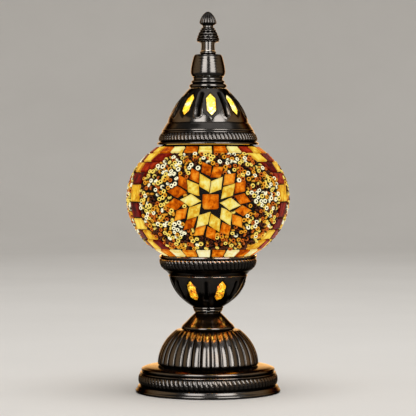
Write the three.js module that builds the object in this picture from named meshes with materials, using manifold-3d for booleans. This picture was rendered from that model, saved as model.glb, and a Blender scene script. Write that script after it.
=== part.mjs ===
// A mosaic glass table lamp: a weighted metal foot with a fluted dome, a pierced cup that holds the
// lampholder, a glass globe in a mosaic skin, and a pierced lid with a turret and a bud finial.
// Millimetres, +Z up, front towards -Y. The origin is the centre of the foot pad's underside.
import * as THREE from 'three';
import { mergeVertices } from 'three/addons/utils/BufferGeometryUtils.js';
import Module from 'manifold-3d';

const wasm = await Module();
wasm.setup();

// ---- Driving dimensions -------------------------------------------------------------------------

const GAP = 0.3; // clearance left between neighbouring pieces
const WALL = 1.5; // thickness of the spun metal
const FILM = 0.5; // thickness of the crinkled film that lines the cup and the lid

const FACETS = 32; // round the large turned pieces
const SMALL_FACETS = 20; // round the small ones
const CURVE_STEPS = 2; // points on each rounded stretch of an outline
const GLOBE_STEPS = 3; // the same on the globe, which curves furthest

const FOOT = { radius: 58, rim: 5.1, band: 54.8, bandTop: 15, shoulder: 53, top: 21.2, padThickness: 1.5 };
const WEIGHT = { radius: 47, thickness: 8, hub: 16, recess: 12, recessDepth: 4.5 };
const CORD_INLET = { height: 10.4, bore: 3.1, neck: 3.9, flange: 4.4, flangeThickness: 1.5 };
const DOME = { radius: 40.4, rise: 36, height: 27.9, seat: 12, ribs: 32, fluteDepth: 1 };
const COLLAR = { radius: 21.4, height: 3 };
const NECK = { foot: 20.6, waist: 10.4, height: 11.4 };
const STEM = { radius: 5, bore: 3.6, clearance: 5.4, top: 84 };
const CUP = { foot: 10.6, floor: 6.4, belly: 31.2, bellyTop: 93 };
const CUP_RING = { radius: 39.2, bottom: 100, top: 106.7, lip: 109 };
const CUP_SEAT = { inner: 25.5, top: 95.9, thickness: 1.5 };
const CUP_LINER = { foot: 16.4, bottom: 74, head: 28.5, top: 93 };
const CUP_WINDOWS = { count: 7, turn: -28.6, width: 7.6, bottom: 72.8, top: 90 };
const GLOBE = { middle: 154.8, radius: 65.6, drop: 55.6, rise: 53.6 };
const SKIN = { thickness: 2.6, bottomRadius: 33, topRadius: 37 };
const GLASS = { thickness: 2.2, footNeck: 29.8, footBottom: 98.6, topNeck: 24.4, topRim: 225.5 };
const GASKET = { height: 2.1, width: 3.4 };
const LID = { lip: 40.6, ring: 39.8, ledge: 32.9, ledgeHeight: 214.2, crown: 16.4, top: 242 };
const LID_SEAT = { inner: 32.6, bottom: 200.9, thickness: 1.3 };
const LID_LINER = { foot: 29.8, bottom: 216.5, head: 16.6, top: 238.3 };
const LID_WINDOWS = { count: 8, turn: 5.7, width: 7.2, bottom: 220, top: 237.6 };
const BEADS = { radius: 14.8, height: 9.2 };
const TURRET = { radius: 14, top: 10.6, height: 17.4 };
const FINIAL_COLLAR = { radius: 6.4, height: 2.5 };
const FINIAL_NECK = { radius: 5.6, height: 7.7 };
const FINIAL = { skirt: 8.8, waist: 4.4, bud: 6.6, tip: 303.6 };
const ROD = { radius: 2.9, clearance: 3.3, bottom: 233.5, top: 286.4 };
const HOLDER = { bottom: 79, capTop: 90, radius: 13.5, top: 118, wall: 1.5, mouth: 9.7 };
const SCREW = { inner: 7.15, outer: 7.75, bottom: 96.3, top: 114 };
const BULB = { radius: 22.5, middle: 153, neck: 8.4, glass: 0.8, cap: 6.8, skirt: 9.4, tip: 98.7 };

// ---- Finishes -----------------------------------------------------------------------------------

function finish(color, roughness, metalness) {
  return new THREE.MeshStandardMaterial({ color, roughness, metalness });
}

const darkMetal = () => finish(0x2e2a27, 0.24, 1);
const castIron = () => finish(0x3a3a3a, 0.7, 0.8);
const steel = () => finish(0x9a9a98, 0.35, 1);
const brass = () => finish(0xc29a4a, 0.3, 1);
const rubber = () => finish(0x141414, 0.85, 0);
const blackPlastic = () => finish(0x101010, 0.45, 0);
const paleCeramic = () => finish(0xe8e2d4, 0.5, 0);
const clearGlass = () => finish(0xf3dca8, 0.1, 0);
const mosaic = () => finish(0xb4742a, 0.3, 0);
const amberFilm = () => finish(0xf0a418, 0.4, 0);
const filamentWire = () => finish(0xffc56e, 0.5, 0.2);

// ---- Geometry helpers ---------------------------------------------------------------------------

/** An outline of radius and height, swept once round the Z axis. */
function turned(outline, facets = FACETS, steps = CURVE_STEPS) {
  return new THREE.LatheGeometry(outline.getPoints(steps), facets).rotateX(Math.PI / 2);
}

/** A plain ring between two radii and two heights. */
function ring(inner, outer, bottom, top, facets = SMALL_FACETS) {
  const outline = new THREE.Path()
    .moveTo(inner, bottom)
    .lineTo(outer, bottom)
    .lineTo(outer, top)
    .lineTo(inner, top)
    .closePath();
  return turned(outline, facets);
}

/** A plain disc between two heights. */
function disc(radius, bottom, top, facets = SMALL_FACETS) {
  return new THREE.CylinderGeometry(radius, radius, top - bottom, facets)
    .rotateX(Math.PI / 2)
    .translate(0, 0, (bottom + top) / 2);
}

/** A hexagon nut with a round bore, standing on the height given. */
function nut(acrossFlats, bore, bottom, height) {
  const corner = acrossFlats / 2 / Math.cos(Math.PI / 6);
  const outline = new THREE.Shape();
  for (let side = 0; side < 6; side++) {
    const angle = (side * Math.PI) / 3;
    const x = corner * Math.cos(angle);
    const y = corner * Math.sin(angle);
    if (side === 0) outline.moveTo(x, y);
    else outline.lineTo(x, y);
  }
  outline.closePath();
  outline.holes.push(new THREE.Path().absarc(0, 0, bore, 0, 2 * Math.PI, true));
  const settings = { depth: height, bevelEnabled: false, curveSegments: SMALL_FACETS / 2 };
  return new THREE.ExtrudeGeometry(outline, settings).translate(0, 0, bottom);
}

/** The manifold-3d solid of a closed geometry. */
function solidOf(geometry) {
  const bare = geometry.index ? geometry.toNonIndexed() : geometry.clone();
  bare.deleteAttribute('normal');
  bare.deleteAttribute('uv');
  const merged = mergeVertices(bare, 1e-4);
  return new wasm.Manifold(
    new wasm.Mesh({
      numProp: 3,
      vertProperties: merged.attributes.position.array,
      triVerts: new Uint32Array(merged.index.array),
    }),
  );
}

/** A geometry with every cutter taken out of it. */
function cut(geometry, cutters) {
  let solid = solidOf(geometry);
  for (const cutter of cutters) solid = solid.subtract(solidOf(cutter));
  const mesh = solid.getMesh();
  const result = new THREE.BufferGeometry();
  result.setAttribute('position', new THREE.BufferAttribute(mesh.vertProperties, 3));
  result.setIndex(new THREE.BufferAttribute(mesh.triVerts, 1));
  result.computeVertexNormals();
  return result;
}

/** Cutters for a row of windows: upright hexagons with pointed ends, driven in from outside. */
function windowCutters({ count, turn, width, bottom, top }, from, to) {
  const side = width / 2;
  const point = width * 0.55; // height of each pointed end
  const cutters = [];
  for (let i = 0; i < count; i++) {
    const outline = new THREE.Shape()
      .moveTo(0, bottom)
      .lineTo(side, bottom + point)
      .lineTo(side, top - point)
      .lineTo(0, top)
      .lineTo(-side, top - point)
      .lineTo(-side, bottom + point)
      .closePath();
    const azimuth = THREE.MathUtils.degToRad(turn + (i * 360) / count);
    cutters.push(
      new THREE.ExtrudeGeometry(outline, { depth: to - from, bevelEnabled: false })
        .translate(0, 0, from)
        .rotateX(Math.PI / 2)
        .rotateZ(azimuth),
    );
  }
  return cutters;
}

/** Angle on an ellipse, counted from its equator, at which it has narrowed to a radius. */
function angleAt(radius, equator) {
  return Math.acos(radius / equator);
}

/** One surface of the globe, inset from the outside, from a low radius to a high one or back. */
function addGlobeSurface(outline, inset, lowRadius, highRadius, upward) {
  const equator = GLOBE.radius - inset;
  const drop = GLOBE.drop - inset;
  const rise = GLOBE.rise - inset;
  const low = -angleAt(lowRadius, equator);
  const high = angleAt(highRadius, equator);
  if (upward) {
    outline.absellipse(0, GLOBE.middle, equator, drop, low, 0, false, 0);
    outline.absellipse(0, GLOBE.middle, equator, rise, 0, high, false, 0);
  } else {
    outline.absellipse(0, GLOBE.middle, equator, rise, high, 0, true, 0);
    outline.absellipse(0, GLOBE.middle, equator, drop, 0, low, true, 0);
  }
}

const lamp = new THREE.Group();

function add(name, geometry, material) {
  const mesh = new THREE.Mesh(geometry, material);
  mesh.name = name;
  lamp.add(mesh);
}

// ---- Foot ---------------------------------------------------------------------------------------

/** The spun shell of the foot: rim, band, bead and a top plate that slopes up to the dome. */
function baseShell() {
  const rimBottom = 0.6;
  const recess = FOOT.padThickness + GAP; // height of the step that the pad is glued under
  const inside = FOOT.band - WALL - 0.4;
  const outline = new THREE.Path()
    .moveTo(FOOT.radius - 3.6, rimBottom)
    .lineTo(FOOT.radius - 0.8, rimBottom)
    .quadraticCurveTo(FOOT.radius, rimBottom, FOOT.radius, rimBottom + 0.8)
    .lineTo(FOOT.radius, FOOT.rim - 0.8)
    .quadraticCurveTo(FOOT.radius, FOOT.rim, FOOT.radius - 0.8, FOOT.rim)
    .lineTo(FOOT.band - 0.8, FOOT.rim + 0.9)
    .lineTo(FOOT.band, FOOT.rim + 2.2)
    .lineTo(FOOT.band, FOOT.bandTop - 1.6)
    .lineTo(FOOT.band - 0.9, FOOT.bandTop)
    .lineTo(FOOT.shoulder - 0.6, FOOT.bandTop + 1.2)
    .quadraticCurveTo(FOOT.shoulder + 0.4, FOOT.top - 3.2, FOOT.shoulder - 1.6, FOOT.top - 1.9)
    .lineTo(FOOT.shoulder - 7, FOOT.top - 0.6)
    .lineTo(DOME.radius + 1.2, FOOT.top)
    .lineTo(STEM.clearance, FOOT.top)
    .lineTo(STEM.clearance, FOOT.top - WALL)
    .lineTo(FOOT.shoulder - 7, FOOT.top - 0.6 - WALL)
    .lineTo(inside - 1.4, FOOT.top - 2.2 - WALL)
    .lineTo(inside, FOOT.bandTop - 1)
    .lineTo(inside, recess)
    .lineTo(FOOT.radius - 3.6, recess)
    .closePath();
  const cordHole = new THREE.CylinderGeometry(
    CORD_INLET.neck + GAP,
    CORD_INLET.neck + GAP,
    FOOT.band,
    SMALL_FACETS,
  ).translate(0, FOOT.band, CORD_INLET.height);
  return cut(turned(outline), [cordHole]);
}

/** The cast disc that keeps the lamp upright, with a hub up to the top plate and a recess for the nut. */
function baseWeight() {
  const bottom = FOOT.padThickness + GAP;
  const top = bottom + WEIGHT.thickness;
  const ceiling = bottom + WEIGHT.recessDepth;
  const outline = new THREE.Path()
    .moveTo(WEIGHT.recess, bottom)
    .lineTo(WEIGHT.radius, bottom)
    .lineTo(WEIGHT.radius, top)
    .lineTo(WEIGHT.hub, top)
    .lineTo(WEIGHT.hub, FOOT.top - WALL - GAP)
    .lineTo(STEM.clearance, FOOT.top - WALL - GAP)
    .lineTo(STEM.clearance, ceiling)
    .lineTo(WEIGHT.recess, ceiling)
    .closePath();
  return turned(outline);
}

/** The rubber bush that lines the cord's way in through the band, at the back. */
function cordBush() {
  const outerFace = FOOT.band + GAP + CORD_INLET.flangeThickness;
  const outerBack = FOOT.band + GAP;
  const innerFront = FOOT.band - WALL - 1.2;
  const innerFace = innerFront - 1.6;
  const outline = new THREE.Path()
    .moveTo(CORD_INLET.bore, innerFace)
    .lineTo(CORD_INLET.flange, innerFace)
    .lineTo(CORD_INLET.flange, innerFront)
    .lineTo(CORD_INLET.neck, innerFront)
    .lineTo(CORD_INLET.neck, outerBack)
    .lineTo(CORD_INLET.flange, outerBack)
    .lineTo(CORD_INLET.flange, outerFace)
    .lineTo(CORD_INLET.bore, outerFace)
    .closePath();
  return turned(outline, SMALL_FACETS).rotateX(-Math.PI / 2).translate(0, 0, CORD_INLET.height);
}

/** The pressed dome: an elliptical shell whose wall is folded in and out into rounded ribs. */
function flutedDome() {
  const bottom = FOOT.top + GAP;
  const top = bottom + DOME.height;
  const reach = Math.asin(DOME.height / DOME.rise);
  const inset = WALL + 0.1;
  const innerReach = Math.asin((DOME.height - WALL) / (DOME.rise - inset));
  const outline = new THREE.Path()
    .moveTo(DOME.radius, bottom)
    .absellipse(0, bottom, DOME.radius, DOME.rise, 0, reach, false, 0)
    .lineTo(DOME.seat, top)
    .lineTo(DOME.seat, top - WALL)
    .absellipse(0, bottom, DOME.radius - inset, DOME.rise - inset, innerReach, 0, true, 0)
    .closePath();
  const geometry = turned(outline, 2 * DOME.ribs);
  const position = geometry.attributes.position;
  const flatRadius = DOME.seat + 8; // no flutes inside this radius
  for (let i = 0; i < position.count; i++) {
    const x = position.getX(i);
    const y = position.getY(i);
    const radius = Math.hypot(x, y);
    const step = Math.round((Math.atan2(y, x) / Math.PI) * DOME.ribs);
    if (step % 2 === 0 || radius < flatRadius) continue;
    const depth = (DOME.fluteDepth * (radius - flatRadius)) / (DOME.radius - flatRadius);
    position.setXY(i, (x * (radius - depth)) / radius, (y * (radius - depth)) / radius);
  }
  return geometry;
}

const padTop = FOOT.padThickness;
const nutBottom = padTop + GAP + 0.4;
const domeTop = FOOT.top + GAP + DOME.height;
const collarBottom = domeTop + GAP;
const neckBottom = collarBottom + COLLAR.height + GAP;
const cupBottom = neckBottom + NECK.height + GAP;

add('foot_pad', disc(FOOT.radius - 4, 0, padTop, FACETS), rubber());
add('base_shell', baseShell(), darkMetal());
add('base_weight', baseWeight(), castIron());
add('bottom_nut', nut(15, STEM.clearance, nutBottom, 2.4), steel());
add('bottom_washer', ring(STEM.clearance, 10, nutBottom + 2.7, nutBottom + 3.7), steel());
add('cord_bush', cordBush(), rubber());
add('fluted_dome', flutedDome(), darkMetal());

// ---- Stem, collar and neck ----------------------------------------------------------------------

/** The rolled ring on top of the dome. */
function domeCollar() {
  const top = collarBottom + COLLAR.height;
  const outline = new THREE.Path()
    .moveTo(STEM.clearance, collarBottom)
    .lineTo(COLLAR.radius - 1, collarBottom)
    .quadraticCurveTo(COLLAR.radius + 0.8, (collarBottom + top) / 2, COLLAR.radius - 1, top)
    .lineTo(STEM.clearance, top)
    .closePath();
  return turned(outline);
}

/** The flared neck that narrows from the collar up to the cup. */
function neckCone() {
  const top = neckBottom + NECK.height;
  const outline = new THREE.Path()
    .moveTo(STEM.clearance, neckBottom)
    .lineTo(NECK.foot, neckBottom)
    .quadraticCurveTo(NECK.waist + 2, neckBottom + 4.5, NECK.waist, top)
    .lineTo(STEM.clearance, top)
    .closePath();
  return turned(outline);
}

add('dome_collar', domeCollar(), darkMetal());
add('neck_cone', neckCone(), darkMetal());
add('stem_pipe', ring(STEM.bore, STEM.radius, nutBottom, STEM.top), steel());

// ---- Cup ----------------------------------------------------------------------------------------

/** The pierced cup: a bowl, a flare up to the ribbed ring, and an inner seat for the glass. */
function cup() {
  const shoulder = new THREE.Vector2(26.8, 81.2); // where the bowl turns from spreading to rising
  const floor = cupBottom + CUP.floor;
  const outline = new THREE.Path()
    .moveTo(STEM.clearance, cupBottom)
    .lineTo(CUP.foot, cupBottom)
    .lineTo(CUP.foot + 0.6, cupBottom + 2.2)
    .quadraticCurveTo(21.5, 71.3, shoulder.x, shoulder.y)
    .quadraticCurveTo(CUP.belly - 0.8, 87.9, CUP.belly, CUP.bellyTop)
    .lineTo(CUP.belly + 0.4, CUP.bellyTop + 3)
    .lineTo(CUP_RING.radius - 1.6, CUP_RING.bottom)
    .lineTo(CUP_RING.radius, CUP_RING.bottom + 1.8)
    .lineTo(CUP_RING.radius, CUP_RING.top - 1)
    .lineTo(CUP_RING.radius - 0.4, CUP_RING.lip)
    .lineTo(CUP_RING.radius - 1.6, CUP_RING.lip)
    .lineTo(CUP_RING.radius - 1.8, CUP_RING.bottom + 2.4)
    .lineTo(CUP.belly + 1, CUP_SEAT.top + 1)
    .lineTo(CUP.belly - 0.8, CUP_SEAT.top)
    .lineTo(CUP_SEAT.inner, CUP_SEAT.top)
    .lineTo(CUP_SEAT.inner, CUP_SEAT.top - CUP_SEAT.thickness)
    .lineTo(CUP.belly - 1.9, CUP_SEAT.top - CUP_SEAT.thickness - 0.4)
    .quadraticCurveTo(CUP.belly - 2.2, 88.4, shoulder.x - WALL, shoulder.y + 0.6)
    .quadraticCurveTo(21.2, 74, 14, floor + 1)
    .lineTo(12, floor)
    .lineTo(STEM.clearance, floor)
    .closePath();
  return cut(turned(outline), windowCutters(CUP_WINDOWS, CUP_SEAT.inner - 10, CUP_RING.radius));
}

/** The amber film behind the cup's windows, from near the floor up to the seat. */
function cupLiner() {
  const { foot, bottom, head, top } = CUP_LINER;
  const outline = new THREE.Path()
    .moveTo(foot, bottom)
    .lineTo(foot + 3.6, bottom + 2.1)
    .lineTo(head - 3.7, top - 10.8)
    .lineTo(head - 0.9, top - 4.7)
    .lineTo(head, top)
    .lineTo(head - FILM, top)
    .lineTo(head - 0.9 - FILM, top - 4.5)
    .lineTo(head - 3.65 - FILM, top - 10.5)
    .lineTo(foot + 3.3, bottom + 2.6)
    .lineTo(foot - 0.2, bottom + 0.6)
    .closePath();
  return turned(outline);
}

const cupFloor = cupBottom + CUP.floor;
const washerTop = cupFloor + GAP + 1;

add('cup', cup(), darkMetal());
add('cup_liner', cupLiner(), amberFilm());
add('cup_washer', ring(STEM.clearance, 10, cupFloor + GAP, washerTop), steel());
add('cup_nut', nut(14, STEM.clearance, washerTop + GAP, 4), steel());
add(
  'seat_gasket',
  ring(
    GLASS.footNeck - GASKET.width + 0.8,
    GLASS.footNeck + 0.8,
    CUP_SEAT.top + GAP,
    CUP_SEAT.top + GAP + GASKET.height,
    FACETS,
  ),
  rubber(),
);

// ---- Lampholder ---------------------------------------------------------------------------------

/** The holder's lower cap, screwed on to the stem. */
function holderCap() {
  const outer = HOLDER.radius - 1;
  const floor = HOLDER.bottom + 2;
  const outline = new THREE.Path()
    .moveTo(STEM.clearance, HOLDER.bottom)
    .lineTo(outer - 2, HOLDER.bottom)
    .lineTo(outer, HOLDER.bottom + 2)
    .lineTo(outer, HOLDER.capTop)
    .lineTo(outer - HOLDER.wall, HOLDER.capTop)
    .lineTo(outer - HOLDER.wall, floor)
    .lineTo(STEM.clearance, floor)
    .closePath();
  return turned(outline, SMALL_FACETS);
}

/** The holder's outer sleeve, with a lip that the lamp cap passes through. */
function holderShell() {
  const inside = HOLDER.radius - HOLDER.wall;
  const outline = new THREE.Path()
    .moveTo(inside, HOLDER.capTop + GAP)
    .lineTo(HOLDER.radius, HOLDER.capTop + GAP)
    .lineTo(HOLDER.radius, HOLDER.top - 1)
    .lineTo(HOLDER.radius - 1, HOLDER.top)
    .lineTo(HOLDER.mouth, HOLDER.top)
    .lineTo(HOLDER.mouth, HOLDER.top - HOLDER.wall)
    .lineTo(inside, HOLDER.top - HOLDER.wall)
    .closePath();
  return turned(outline, SMALL_FACETS);
}

/** The sprung centre contact: a flat tongue bent up and back over itself. */
function contactTongue() {
  const width = 3;
  const profile = new THREE.Shape()
    .moveTo(-5, 0)
    .lineTo(4, 0)
    .lineTo(4.6, 0.8)
    .lineTo(1.6, 1.9)
    .lineTo(-1.6, 1.9)
    .lineTo(-1.6, 1.5)
    .lineTo(1.4, 1.5)
    .lineTo(3.6, 0.7)
    .lineTo(3.4, 0.4)
    .lineTo(-5, 0.4)
    .closePath();
  return new THREE.ExtrudeGeometry(profile, { depth: width, bevelEnabled: false })
    .translate(0, 0, -width / 2)
    .rotateX(Math.PI / 2)
    .translate(0, 0, SCREW.bottom);
}

const coreTop = SCREW.bottom - GAP;

add('lampholder_cap', holderCap(), blackPlastic());
add('lampholder_shell', holderShell(), blackPlastic());
add('lampholder_core', disc(HOLDER.radius - HOLDER.wall - GAP, HOLDER.capTop + 1, coreTop), paleCeramic());
add('lampholder_screw', ring(SCREW.inner, SCREW.outer, SCREW.bottom, SCREW.top), brass());
add('lampholder_contact', contactTongue(), brass());

// ---- Bulb ---------------------------------------------------------------------------------------

const insulatorTop = BULB.tip + 3.5;
const capBottom = insulatorTop + GAP;
const capTop = capBottom + 22;
const bulbGlassBottom = capTop - 4.2;

/** The screw cap: rounded threads below, and a skirt round the neck of the glass. */
function bulbCap() {
  const pitch = 2.8;
  const threads = 4;
  const wall = 0.6;
  const depth = 0.5;
  const threadTop = capBottom + threads * pitch;
  const outline = new THREE.Path().moveTo(BULB.cap - depth - wall, capBottom);
  for (let thread = 0; thread < threads; thread++) {
    const z = capBottom + thread * pitch;
    outline.lineTo(BULB.cap - depth, z);
    outline.lineTo(BULB.cap, z + pitch / 2);
  }
  outline
    .lineTo(BULB.cap - depth, threadTop)
    .lineTo(BULB.cap - depth, capTop - 6)
    .lineTo(BULB.skirt, capTop - 5)
    .lineTo(BULB.skirt, capTop)
    .lineTo(BULB.skirt - wall, capTop)
    .lineTo(BULB.skirt - wall, capTop - 4.6)
    .lineTo(BULB.cap - depth - wall, capTop - 5.4)
    .closePath();
  return turned(outline, SMALL_FACETS);
}

/** The round glass envelope, open at the foot of its neck. */
function bulbGlass() {
  const neckTop = BULB.middle - 25;
  const start = -Math.acos(12.5 / BULB.radius);
  const inside = BULB.radius - BULB.glass;
  const innerStart = -Math.acos(12 / inside);
  const outline = new THREE.Path()
    .moveTo(BULB.neck, bulbGlassBottom)
    .lineTo(BULB.neck, neckTop)
    .absarc(0, BULB.middle, BULB.radius, start, Math.PI / 2, false)
    .lineTo(0, BULB.middle + inside)
    .absarc(0, BULB.middle, inside, Math.PI / 2, innerStart, true)
    .lineTo(BULB.neck - BULB.glass, neckTop)
    .lineTo(BULB.neck - BULB.glass, bulbGlassBottom)
    .closePath();
  return turned(outline, SMALL_FACETS);
}

/** The pressed glass mount inside the bulb. */
function bulbStem() {
  const foot = bulbGlassBottom + 1;
  const outline = new THREE.Path()
    .moveTo(0, foot)
    .lineTo(BULB.neck - 1.4, foot)
    .lineTo(3.2, foot + 5)
    .lineTo(2.2, foot + 16)
    .lineTo(0, foot + 17);
  return turned(outline, 12);
}

/** The filament: one wire bowed over the mount, as a round section along a curve. */
function bulbFilament() {
  const foot = BULB.middle - 8;
  const route = new THREE.CatmullRomCurve3([
    new THREE.Vector3(-6, 0, foot),
    new THREE.Vector3(-9, 0, foot + 10),
    new THREE.Vector3(0, 0, foot + 17),
    new THREE.Vector3(9, 0, foot + 10),
    new THREE.Vector3(6, 0, foot),
  ]);
  const section = new THREE.Shape().absarc(0, 0, 0.7, 0, 2 * Math.PI, false);
  return new THREE.ExtrudeGeometry(section, { steps: 16, curveSegments: 4, extrudePath: route });
}

/** The black glass cone between the cap and its centre contact. */
function bulbInsulator() {
  const bottom = BULB.tip + 1.3;
  const outline = new THREE.Path()
    .moveTo(0, bottom)
    .lineTo(2.6, bottom)
    .lineTo(5.2, insulatorTop)
    .lineTo(0, insulatorTop);
  return turned(outline, SMALL_FACETS);
}

add('bulb_contact', disc(2.2, BULB.tip, BULB.tip + 1, 12), steel());
add('bulb_insulator', bulbInsulator(), blackPlastic());
add('bulb_cap', bulbCap(), brass());
add('bulb_glass', bulbGlass(), clearGlass());
add('bulb_stem', bulbStem(), clearGlass());
add('bulb_filament', bulbFilament(), filamentWire());

// ---- Globe --------------------------------------------------------------------------------------

/** The mosaic: grout and glass pieces, as one skin round the glass. */
function mosaicSkin() {
  const outline = new THREE.Path();
  addGlobeSurface(outline, 0, SKIN.bottomRadius, SKIN.topRadius, true);
  addGlobeSurface(outline, SKIN.thickness, SKIN.bottomRadius, SKIN.topRadius, false);
  return turned(outline.closePath(), FACETS, GLOBE_STEPS);
}

/** The blown globe, with a short neck that stands in the cup and a tall one inside the lid. */
function globeGlass() {
  const outside = SKIN.thickness + GAP;
  const inside = outside + GLASS.thickness;
  const outline = new THREE.Path()
    .moveTo(GLASS.footNeck - GLASS.thickness, GLASS.footBottom)
    .lineTo(GLASS.footNeck, GLASS.footBottom);
  addGlobeSurface(outline, outside, GLASS.footNeck, GLASS.topNeck, true);
  outline
    .lineTo(GLASS.topNeck, GLASS.topRim)
    .lineTo(GLASS.topNeck - GLASS.thickness, GLASS.topRim);
  addGlobeSurface(
    outline,
    inside,
    GLASS.footNeck - GLASS.thickness,
    GLASS.topNeck - GLASS.thickness,
    false,
  );
  return turned(outline.closePath(), FACETS, GLOBE_STEPS);
}

add('globe_glass', globeGlass(), clearGlass());
add('mosaic_skin', mosaicSkin(), mosaic());

// ---- Lid ----------------------------------------------------------------------------------------

/** The pierced lid: lip, ribbed ring, flare, ledge and dome, with an inner seat on the glass. */
function lidDome() {
  const shoulder = new THREE.Vector2(27.3, 229.2); // where the dome turns in towards its crown
  const ceiling = LID.top - WALL;
  const outline = new THREE.Path()
    .moveTo(LID.lip - 3, 199.2)
    .lineTo(LID.lip, 197.35)
    .lineTo(LID.lip + 0.3, 198.2)
    .lineTo(LID.ring - 1.2, 200)
    .lineTo(LID.ring, 201.2)
    .lineTo(LID.ring, 203.4)
    .lineTo(LID.ring - 0.9, 204.5)
    .lineTo(LID.ring - 3.4, 208.6)
    .lineTo(LID.ledge, LID.ledgeHeight)
    .quadraticCurveTo(31, 221.2, shoulder.x, shoulder.y)
    .quadraticCurveTo(23.6, 236.2, LID.crown, LID.top)
    .lineTo(ROD.clearance, LID.top)
    .lineTo(ROD.clearance, ceiling)
    .lineTo(LID.crown - 0.6, ceiling)
    .quadraticCurveTo(22.6, 234.7, shoulder.x - WALL, shoulder.y - 0.8)
    .quadraticCurveTo(29.5, 221, LID.ledge - WALL - 0.1, LID.ledgeHeight)
    .lineTo(LID.ring - 2.4, LID_SEAT.bottom + LID_SEAT.thickness)
    .lineTo(LID_SEAT.inner, LID_SEAT.bottom + LID_SEAT.thickness)
    .lineTo(LID_SEAT.inner, LID_SEAT.bottom)
    .lineTo(LID.lip - 3, LID_SEAT.bottom)
    .closePath();
  return cut(turned(outline), windowCutters(LID_WINDOWS, LID.crown - 2, LID.ledge + 5));
}

/** The amber film behind the lid's windows, outside the neck of the glass. */
function lidLiner() {
  const { foot, bottom, head, top } = LID_LINER;
  const outline = new THREE.Path()
    .moveTo(foot, bottom)
    .lineTo(foot - 1.5, bottom + 4.7)
    .lineTo(foot - 4.6, bottom + 11.7)
    .lineTo(head + 4.5, top - 4.2)
    .lineTo(head, top)
    .lineTo(head - 0.2, top - 0.6)
    .lineTo(head + 4.6 - FILM, top - 4.6)
    .lineTo(foot - 4.55 - FILM, bottom + 11.4)
    .lineTo(foot - 1.5 - FILM, bottom + 4.5)
    .lineTo(foot - FILM, bottom)
    .closePath();
  return turned(outline);
}

/** The rubber ring between the lid's seat and the shoulder of the glass. */
function lidGasket() {
  const inner = LID_SEAT.inner + 0.2;
  const top = LID_SEAT.bottom - GAP;
  return ring(inner, inner + GASKET.width - 0.2, top - GASKET.height, top, FACETS);
}

/** Two turned beads and a fillet that carry the turret. */
function beadCollar() {
  const bottom = LID.top + GAP;
  const outline = new THREE.Path()
    .moveTo(ROD.clearance, bottom)
    .lineTo(BEADS.radius - 0.6, bottom)
    .quadraticCurveTo(BEADS.radius + 0.6, bottom + 1.6, BEADS.radius - 1, bottom + 3.2)
    .lineTo(BEADS.radius - 2.6, bottom + 3.8)
    .quadraticCurveTo(BEADS.radius - 0.9, bottom + 5.9, BEADS.radius - 2.8, bottom + 7.8)
    .lineTo(BEADS.radius - 1.4, bottom + 8.5)
    .lineTo(BEADS.radius - 1.4, bottom + BEADS.height)
    .lineTo(ROD.clearance, bottom + BEADS.height)
    .closePath();
  return turned(outline);
}

/** The tapered turret, open underneath. */
function lidTurret() {
  const bottom = LID.top + GAP + BEADS.height + GAP;
  const top = bottom + TURRET.height;
  const wall = 1.3;
  const outline = new THREE.Path()
    .moveTo(TURRET.radius - 2 * wall, bottom)
    .lineTo(TURRET.radius - 0.4, bottom)
    .lineTo(TURRET.radius, bottom + 1)
    .lineTo(TURRET.radius, bottom + 3.4)
    .quadraticCurveTo(TURRET.radius - 1.2, bottom + 9.5, TURRET.top, top - 1.4)
    .lineTo(TURRET.top - 0.6, top)
    .lineTo(ROD.clearance, top)
    .lineTo(ROD.clearance, top - wall)
    .lineTo(TURRET.top - wall - 0.6, top - wall)
    .closePath();
  return turned(outline);
}

const turretTop = LID.top + GAP + BEADS.height + GAP + TURRET.height;
const finialCollarBottom = turretTop + GAP;
const finialNeckBottom = finialCollarBottom + FINIAL_COLLAR.height + GAP;
const finialBottom = finialNeckBottom + FINIAL_NECK.height + GAP;

/** The finial: a belled skirt, a waist and a pointed bud, with a blind hole for the rod. */
function finial() {
  const holeTop = ROD.top + 0.6;
  const outline = new THREE.Path()
    .moveTo(0, holeTop)
    .lineTo(ROD.clearance, holeTop)
    .lineTo(ROD.clearance, finialBottom)
    .lineTo(FINIAL.skirt - 3.4, finialBottom)
    .lineTo(FINIAL.skirt, finialBottom + 2.4)
    .quadraticCurveTo(FINIAL.skirt - 0.6, finialBottom + 7, FINIAL.waist + 0.9, finialBottom + 10.2)
    .lineTo(FINIAL.waist, finialBottom + 11.6)
    .lineTo(FINIAL.bud, finialBottom + 15)
    .quadraticCurveTo(FINIAL.bud - 1.4, finialBottom + 19, 0, FINIAL.tip);
  return turned(outline, SMALL_FACETS);
}

const lidCeiling = LID.top - WALL;

add('lid_dome', lidDome(), darkMetal());
add('lid_liner', lidLiner(), amberFilm());
add('lid_gasket', lidGasket(), rubber());
add('lid_washer', ring(ROD.clearance, 7, lidCeiling - GAP - 1, lidCeiling - GAP), steel());
add('lid_nut', nut(10, ROD.clearance, lidCeiling - 2 * GAP - 1 - 3, 3), steel());
add('lid_bead_collar', beadCollar(), darkMetal());
add('lid_turret', lidTurret(), darkMetal());
add(
  'finial_collar',
  ring(ROD.clearance, FINIAL_COLLAR.radius, finialCollarBottom, finialCollarBottom + FINIAL_COLLAR.height),
  darkMetal(),
);
add(
  'finial_neck',
  ring(ROD.clearance, FINIAL_NECK.radius, finialNeckBottom, finialNeckBottom + FINIAL_NECK.height),
  darkMetal(),
);
add('finial', finial(), darkMetal());
add('finial_rod', disc(ROD.radius, ROD.bottom, ROD.top, SMALL_FACETS), steel());

export default lamp;
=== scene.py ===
"""A mosaic glass table lamp: the looks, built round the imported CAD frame.

Outlines are in millimetres, as pairs of radius and height, and become metres in make_mesh().
Azimuths count from the front of the lamp, -Y, towards +X.
"""

import itertools
import math
import random

import bpy
import numpy as np
from mathutils import Matrix, Vector, noise


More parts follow.
